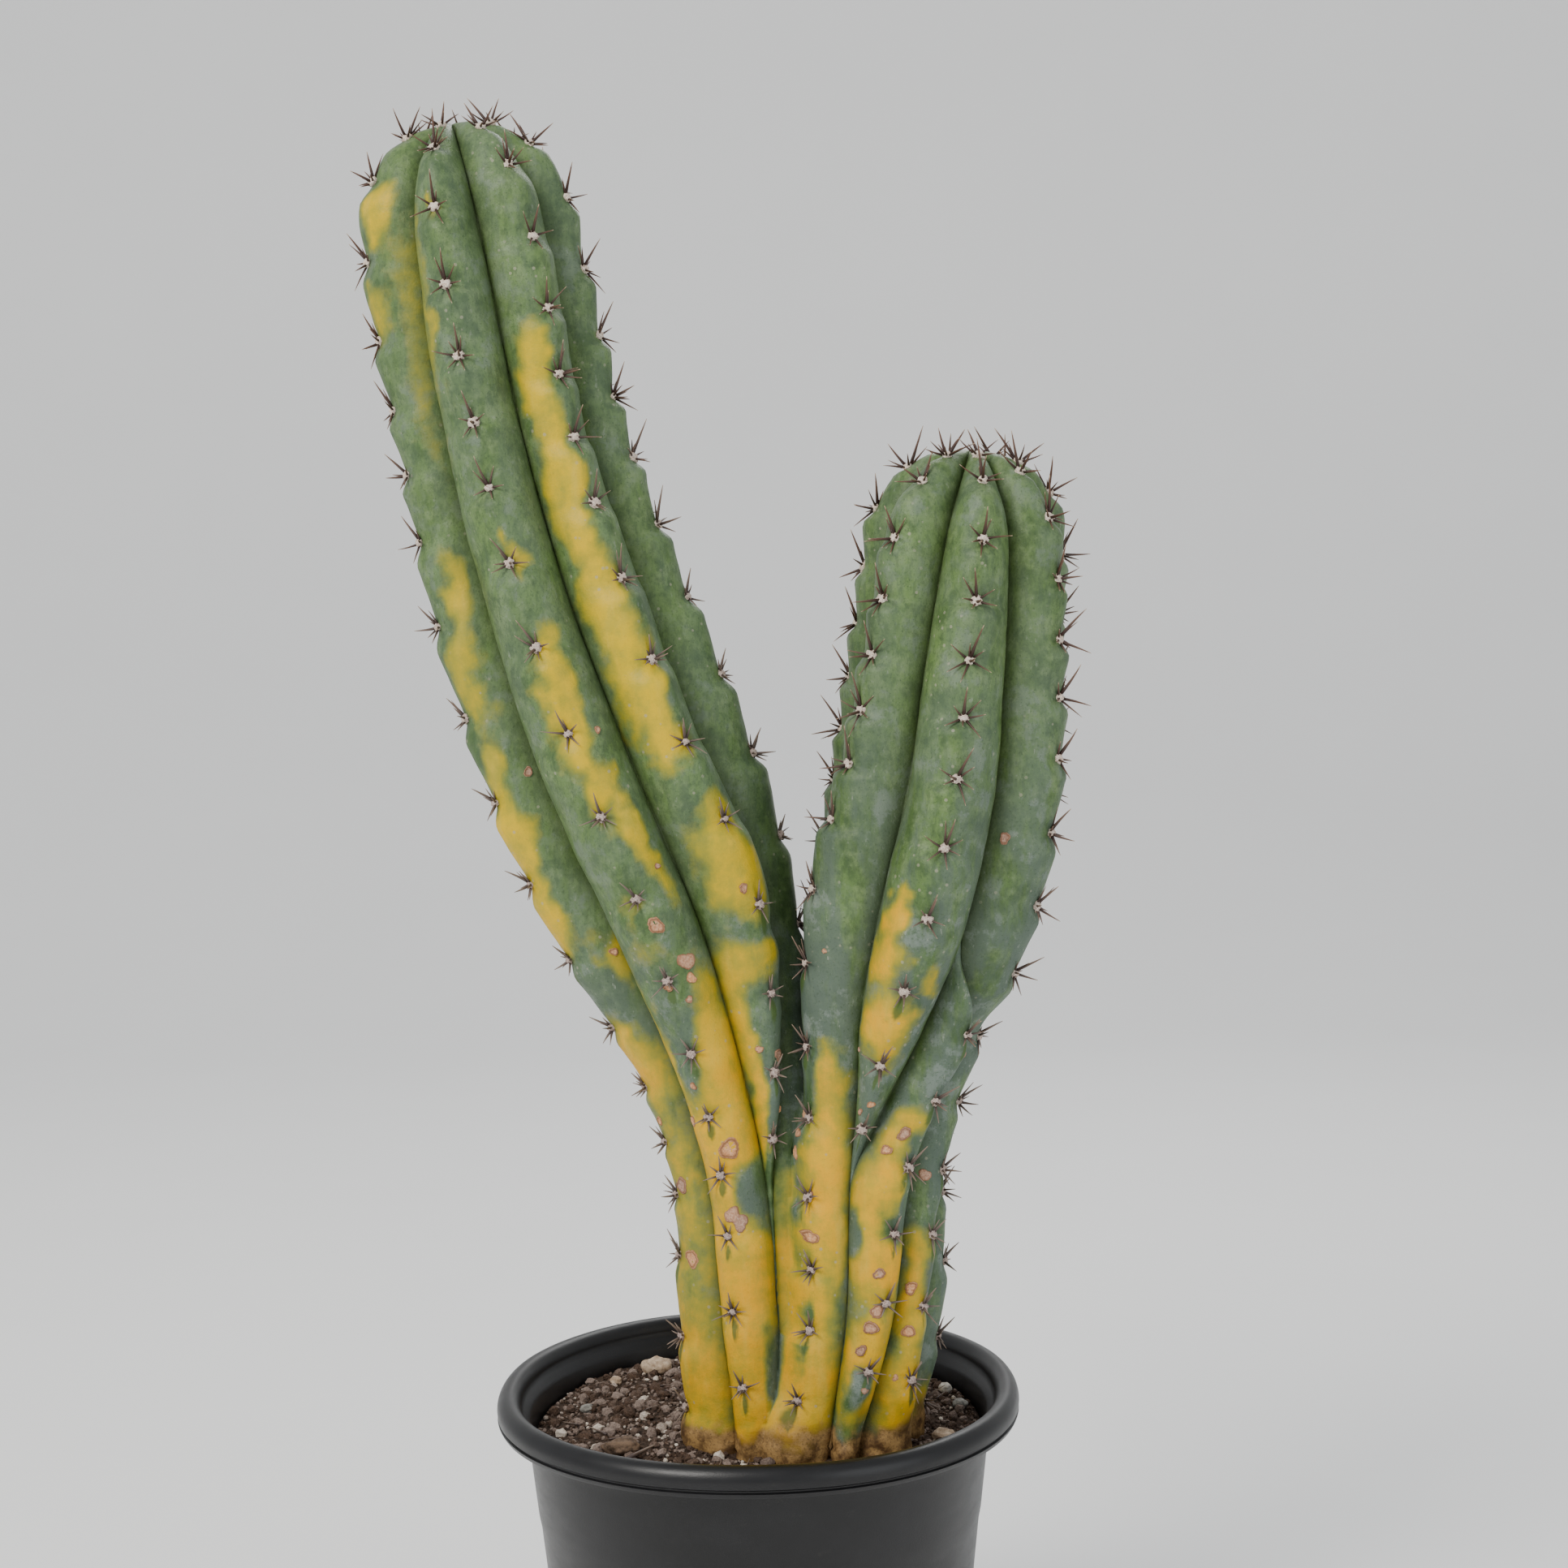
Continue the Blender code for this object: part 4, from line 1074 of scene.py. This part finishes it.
def build_soil(material):
    """The whole root ball as one closed form with a crumbly top."""
    edge = wall_radius(SOIL_EDGE) - SOIL_GAP
    points = [(0.0, 0.0, soil_height(0, 0))]
    for ring in range(1, SOIL_RINGS + 1):
        for turn in turns(SOIL_SEGMENTS):
            x, y = polar(edge * ring / SOIL_RINGS, turn)
            crumb = 0.0009 * noise.noise(Vector((x, y, 3)) * 260) if ring < SOIL_RINGS else 0
            points.append((x, y, soil_height(x, y) + crumb))
    lower = [(wall_radius(0.1) - SOIL_GAP, 0.1), (FLOOR_RADIUS - SOIL_GAP, 0.0105)]
    lower.append((0.088, SOIL_BOTTOM))
    for radius, z in lower:
        points += [(*polar(radius, turn), z) for turn in turns(SOIL_SEGMENTS)]
    points.append((0.0, 0.0, SOIL_BOTTOM))
    faces = [(0, 1 + k, 1 + (k + 1) % SOIL_SEGMENTS) for k in range(SOIL_SEGMENTS)]
    bands = SOIL_RINGS + len(lower) - 1
    for band in range(bands):
        low = 1 + band * SOIL_SEGMENTS
        faces += ring_faces(low, low + SOIL_SEGMENTS, SOIL_SEGMENTS, True)
    last = 1 + bands * SOIL_SEGMENTS
    end = len(points) - 1
    faces += [(last + k, end, last + (k + 1) % SOIL_SEGMENTS) for k in range(SOIL_SEGMENTS)]
    place(mesh_object("potting_mix", points, faces, material), "potting_mix", "potting_soil")


def footprint(stem):
    """Middle of a stem at the surface of the mix, and its reach by direction."""
    rib, side = around_ribs(stem, np.linspace(-1, 1, 20, endpoint=False))
    z = np.full(len(rib), SOIL_TOP)
    away = surface(stem, z, rib, side) - axis_points(stem, z)
    turn = np.arctan2(away[:, 1], away[:, 0])
    order = np.argsort(turn)
    return axis_points(stem, z)[0], turn[order], np.hypot(away[:, 0], away[:, 1])[order]


FOOTPRINTS = [footprint(stem) for stem in STEMS.values()]


def inside_stump(x, y, room):
    """Whether a spot lies within the stump's outline, widened by room, at the surface."""
    for middle, directions, reach in FOOTPRINTS:
        dx = x - middle[0]
        dy = y - middle[1]
        edge = np.interp(math.atan2(dy, dx), directions, reach, period=2 * math.pi)
        if math.hypot(dx, dy) < edge + room:
            return True
    return False


def add_grain(batch, chance, x, y, size, detail, tone, sink):
    """One crumb or grain, irregular and turned at random, partly sunk in the mix."""
    points, faces = BALLS[detail]
    seed = Vector((x * 700, y * 700, size * 9000))
    stretch = Vector((chance.uniform(0.8, 1.25), chance.uniform(0.7, 1.1), chance.uniform(0.55, 0.95)))
    turn = Matrix.Rotation(chance.uniform(0, 6.28), 3, "Z")
    turn = turn @ Matrix.Rotation(chance.uniform(-0.7, 0.7), 3, "X")
    centre = Vector((x, y, soil_height(x, y) + size * sink))
    made = []
    for spot in points:
        lump = 1 + 0.4 * noise.noise(spot * 1.7 + seed)
        made.append(centre + turn @ (spot * stretch) * size * lump)
    batch.add(made, faces, tone=tone)


def build_grains(material):
    chance = random.Random(71)
    batch = Batch("tone")
    edge = wall_radius(SOIL_EDGE)
    wanted = GRAINS
    while wanted > 0:
        radius = edge * math.sqrt(chance.random())
        x, y = polar(radius, chance.uniform(0, 2 * math.pi))
        big = chance.random() < BIG_GRAINS
        size = chance.uniform(0.0016, 0.0034) if big else chance.uniform(0.0006, 0.0015)
        if radius > edge - size * 1.3 or inside_stump(x, y, size * 0.2):
            continue
        tone = chance.random()
        add_grain(batch, chance, x, y, size, 2 if big else 1, tone, chance.uniform(0.1, 0.6))
        wanted -= 1
    place(batch.build("potting_mix_grains", material, False), "potting_mix")


STONE_TONES = {
    "tan_stone": ((0.34, 0.24, 0.16), (0.62, 0.49, 0.36)),
    "grey_stone": ((0.14, 0.135, 0.12), (0.3, 0.29, 0.26)),
    "white_stone": ((0.42, 0.38, 0.32), (0.72, 0.68, 0.6)),
    "bark": ((0.045, 0.028, 0.018), (0.17, 0.11, 0.07)),
}


def build_loose_pieces():
    """A worn stone, chip or piece of bark in the place of each loose solid, bedded in the mix."""
    finishes = {slot: stone_finish(slot, *tones) for slot, tones in STONE_TONES.items()}
    slots = {row["node"]: row["material_slot"] for row in frame["record"]["subparts"]}
    for node in sorted(slots):
        if slots[node] not in finishes:
            continue
        low, high = (Vector(corner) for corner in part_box(node))
        middle = (low + high) / 2
        half = (high - low) / 2
        middle.z = soil_height(middle.x, middle.y) + half.z * 0.75
        points, faces = BALLS[4]
        seed = middle * 800
        made = []
        for spot in points:
            lump = 1 + 0.22 * noise.noise(spot * 1.5 + seed) + 0.07 * noise.noise(spot * 5 + seed)
            if slots[node] == "bark":
                lump += 0.1 * noise.noise(Vector((spot.x * 2, spot.y * 9, spot.z * 9)) + seed)
            made.append(middle + spot * half * lump * 0.97)
        place(mesh_object(node + "_detail", made, faces, finishes[slots[node]]), slots[node], node)


def build_litter(spine_material):
    """Straws and shed spines lying on the mix."""
    chance = random.Random(9)
    batch = Batch("tip", "age")
    for straw in STRAWS:
        add_lying(batch, *straw)
    laid = 0
    while laid < SHED_SPINES:
        turn = chance.uniform(0, 2 * math.pi)
        x, y = polar(chance.uniform(0.03, 0.1), turn)
        if inside_stump(x, y, 0.006):
            continue
        add_lying(batch, x, y, chance.uniform(0, 360), chance.uniform(0.007, 0.013), 0.0004)
        laid += 1
    place(batch.build("shed_spines", spine_material), "spine_wood")


def add_lying(batch, x, y, heading, length, thickness):
    """One straw or spine centred over x, y, with its heading in degrees."""
    turn = math.radians(heading)
    direction = Vector((math.cos(turn), math.sin(turn), 0.06)).normalized()
    start = Vector((x, y, soil_height(x, y) + 0.003)) - direction * length / 2
    add_spine(batch, start, direction, length, thickness, Vector((0, 0, -0.03)), 1.0)


# --- studio ---

def build_floor():
    """A pale floor that sweeps up behind the object."""
    bend = 1.2
    start = 2.2
    half_width = 8.0
    top = 6.0
    profile = [(-6.0, 0.0), (start, 0.0)]
    for a in np.linspace(0.08, math.pi / 2, 24):
        profile.append((start + bend * math.sin(a), bend - bend * math.cos(a)))
    profile.append((3.4, top))
    points = [(x, y, z - 0.0002) for y, z in profile for x in (-half_width, half_width)]
    faces = [(2 * k, 2 * k + 1, 2 * k + 3, 2 * k + 2) for k in range(len(profile) - 1)]
    mesh_object("studio_floor", points, faces, floor_finish())


def add_light(name, spot, aim, size, power, colour):
    lamp = bpy.data.lights.new(name, "AREA")
    lamp.shape = "DISK"
    lamp.size = size
    lamp.energy = power
    lamp.color = colour
    holder = bpy.data.objects.new(name, lamp)
    holder.location = spot
    holder.rotation_euler = (Vector(aim) - Vector(spot)).to_track_quat("-Z", "Y").to_euler()
    bpy.context.scene.collection.objects.link(holder)


# name: place, aim, diameter, watts, colour
LIGHTS = {
    "key": ((-1.3, -1.6, 2.0), (0, 0, 0.45), 1.1, 54, (1.0, 0.97, 0.92)),
    "fill": ((1.7, -1.5, 0.9), (0, 0, 0.45), 1.6, 12, (0.94, 0.97, 1.0)),
    "back": ((0.4, 1.5, 1.9), (0, 0, 0.5), 1.2, 16, (1.0, 1.0, 1.0)),
}


def build_lights():
    for name, values in LIGHTS.items():
        add_light(name, *values)
    world = bpy.data.worlds.new("studio")
    world.use_nodes = True
    background = world.node_tree.nodes["Background"]
    background.inputs["Color"].default_value = (0.95, 0.97, 1.0, 1)
    background.inputs["Strength"].default_value = 0.72
    bpy.context.scene.world = world


def build_camera():
    """The photograph's view: just above the rim, almost level, turned a degree."""
    pitch = math.radians(4.17)
    roll = math.radians(-1.04)
    ahead = Vector((0, math.cos(pitch), -math.sin(pitch)))
    up = Vector((0, math.sin(pitch), math.cos(pitch)))
    right = Vector((1, 0, 0))
    turned_right = right * math.cos(roll) + up * math.sin(roll)
    turned_up = up * math.cos(roll) - right * math.sin(roll)
    camera = bpy.data.cameras.new("camera")
    camera.lens = 61.5
    camera.sensor_width = 36.0
    holder = bpy.data.objects.new("camera", camera)
    matrix = Matrix((turned_right, turned_up, -ahead)).transposed().to_4x4()
    matrix.translation = Vector((0.0184, -1.314, 0.6071))
    holder.matrix_world = matrix
    bpy.context.scene.collection.objects.link(holder)
    bpy.context.scene.camera = holder


build_camera()
build_lights()
build_floor()
build_stems(skin_finish())
SPINES = spine_finish()
WOOL = wool_finish()
for name, stem in STEMS.items():
    build_areoles(name, stem, SPINES, WOOL)
build_scars(cork_finish())
build_pot(pot_finish())
build_soil(soil_finish())
build_grains(grain_finish())
build_loose_pieces()
build_litter(SPINES)
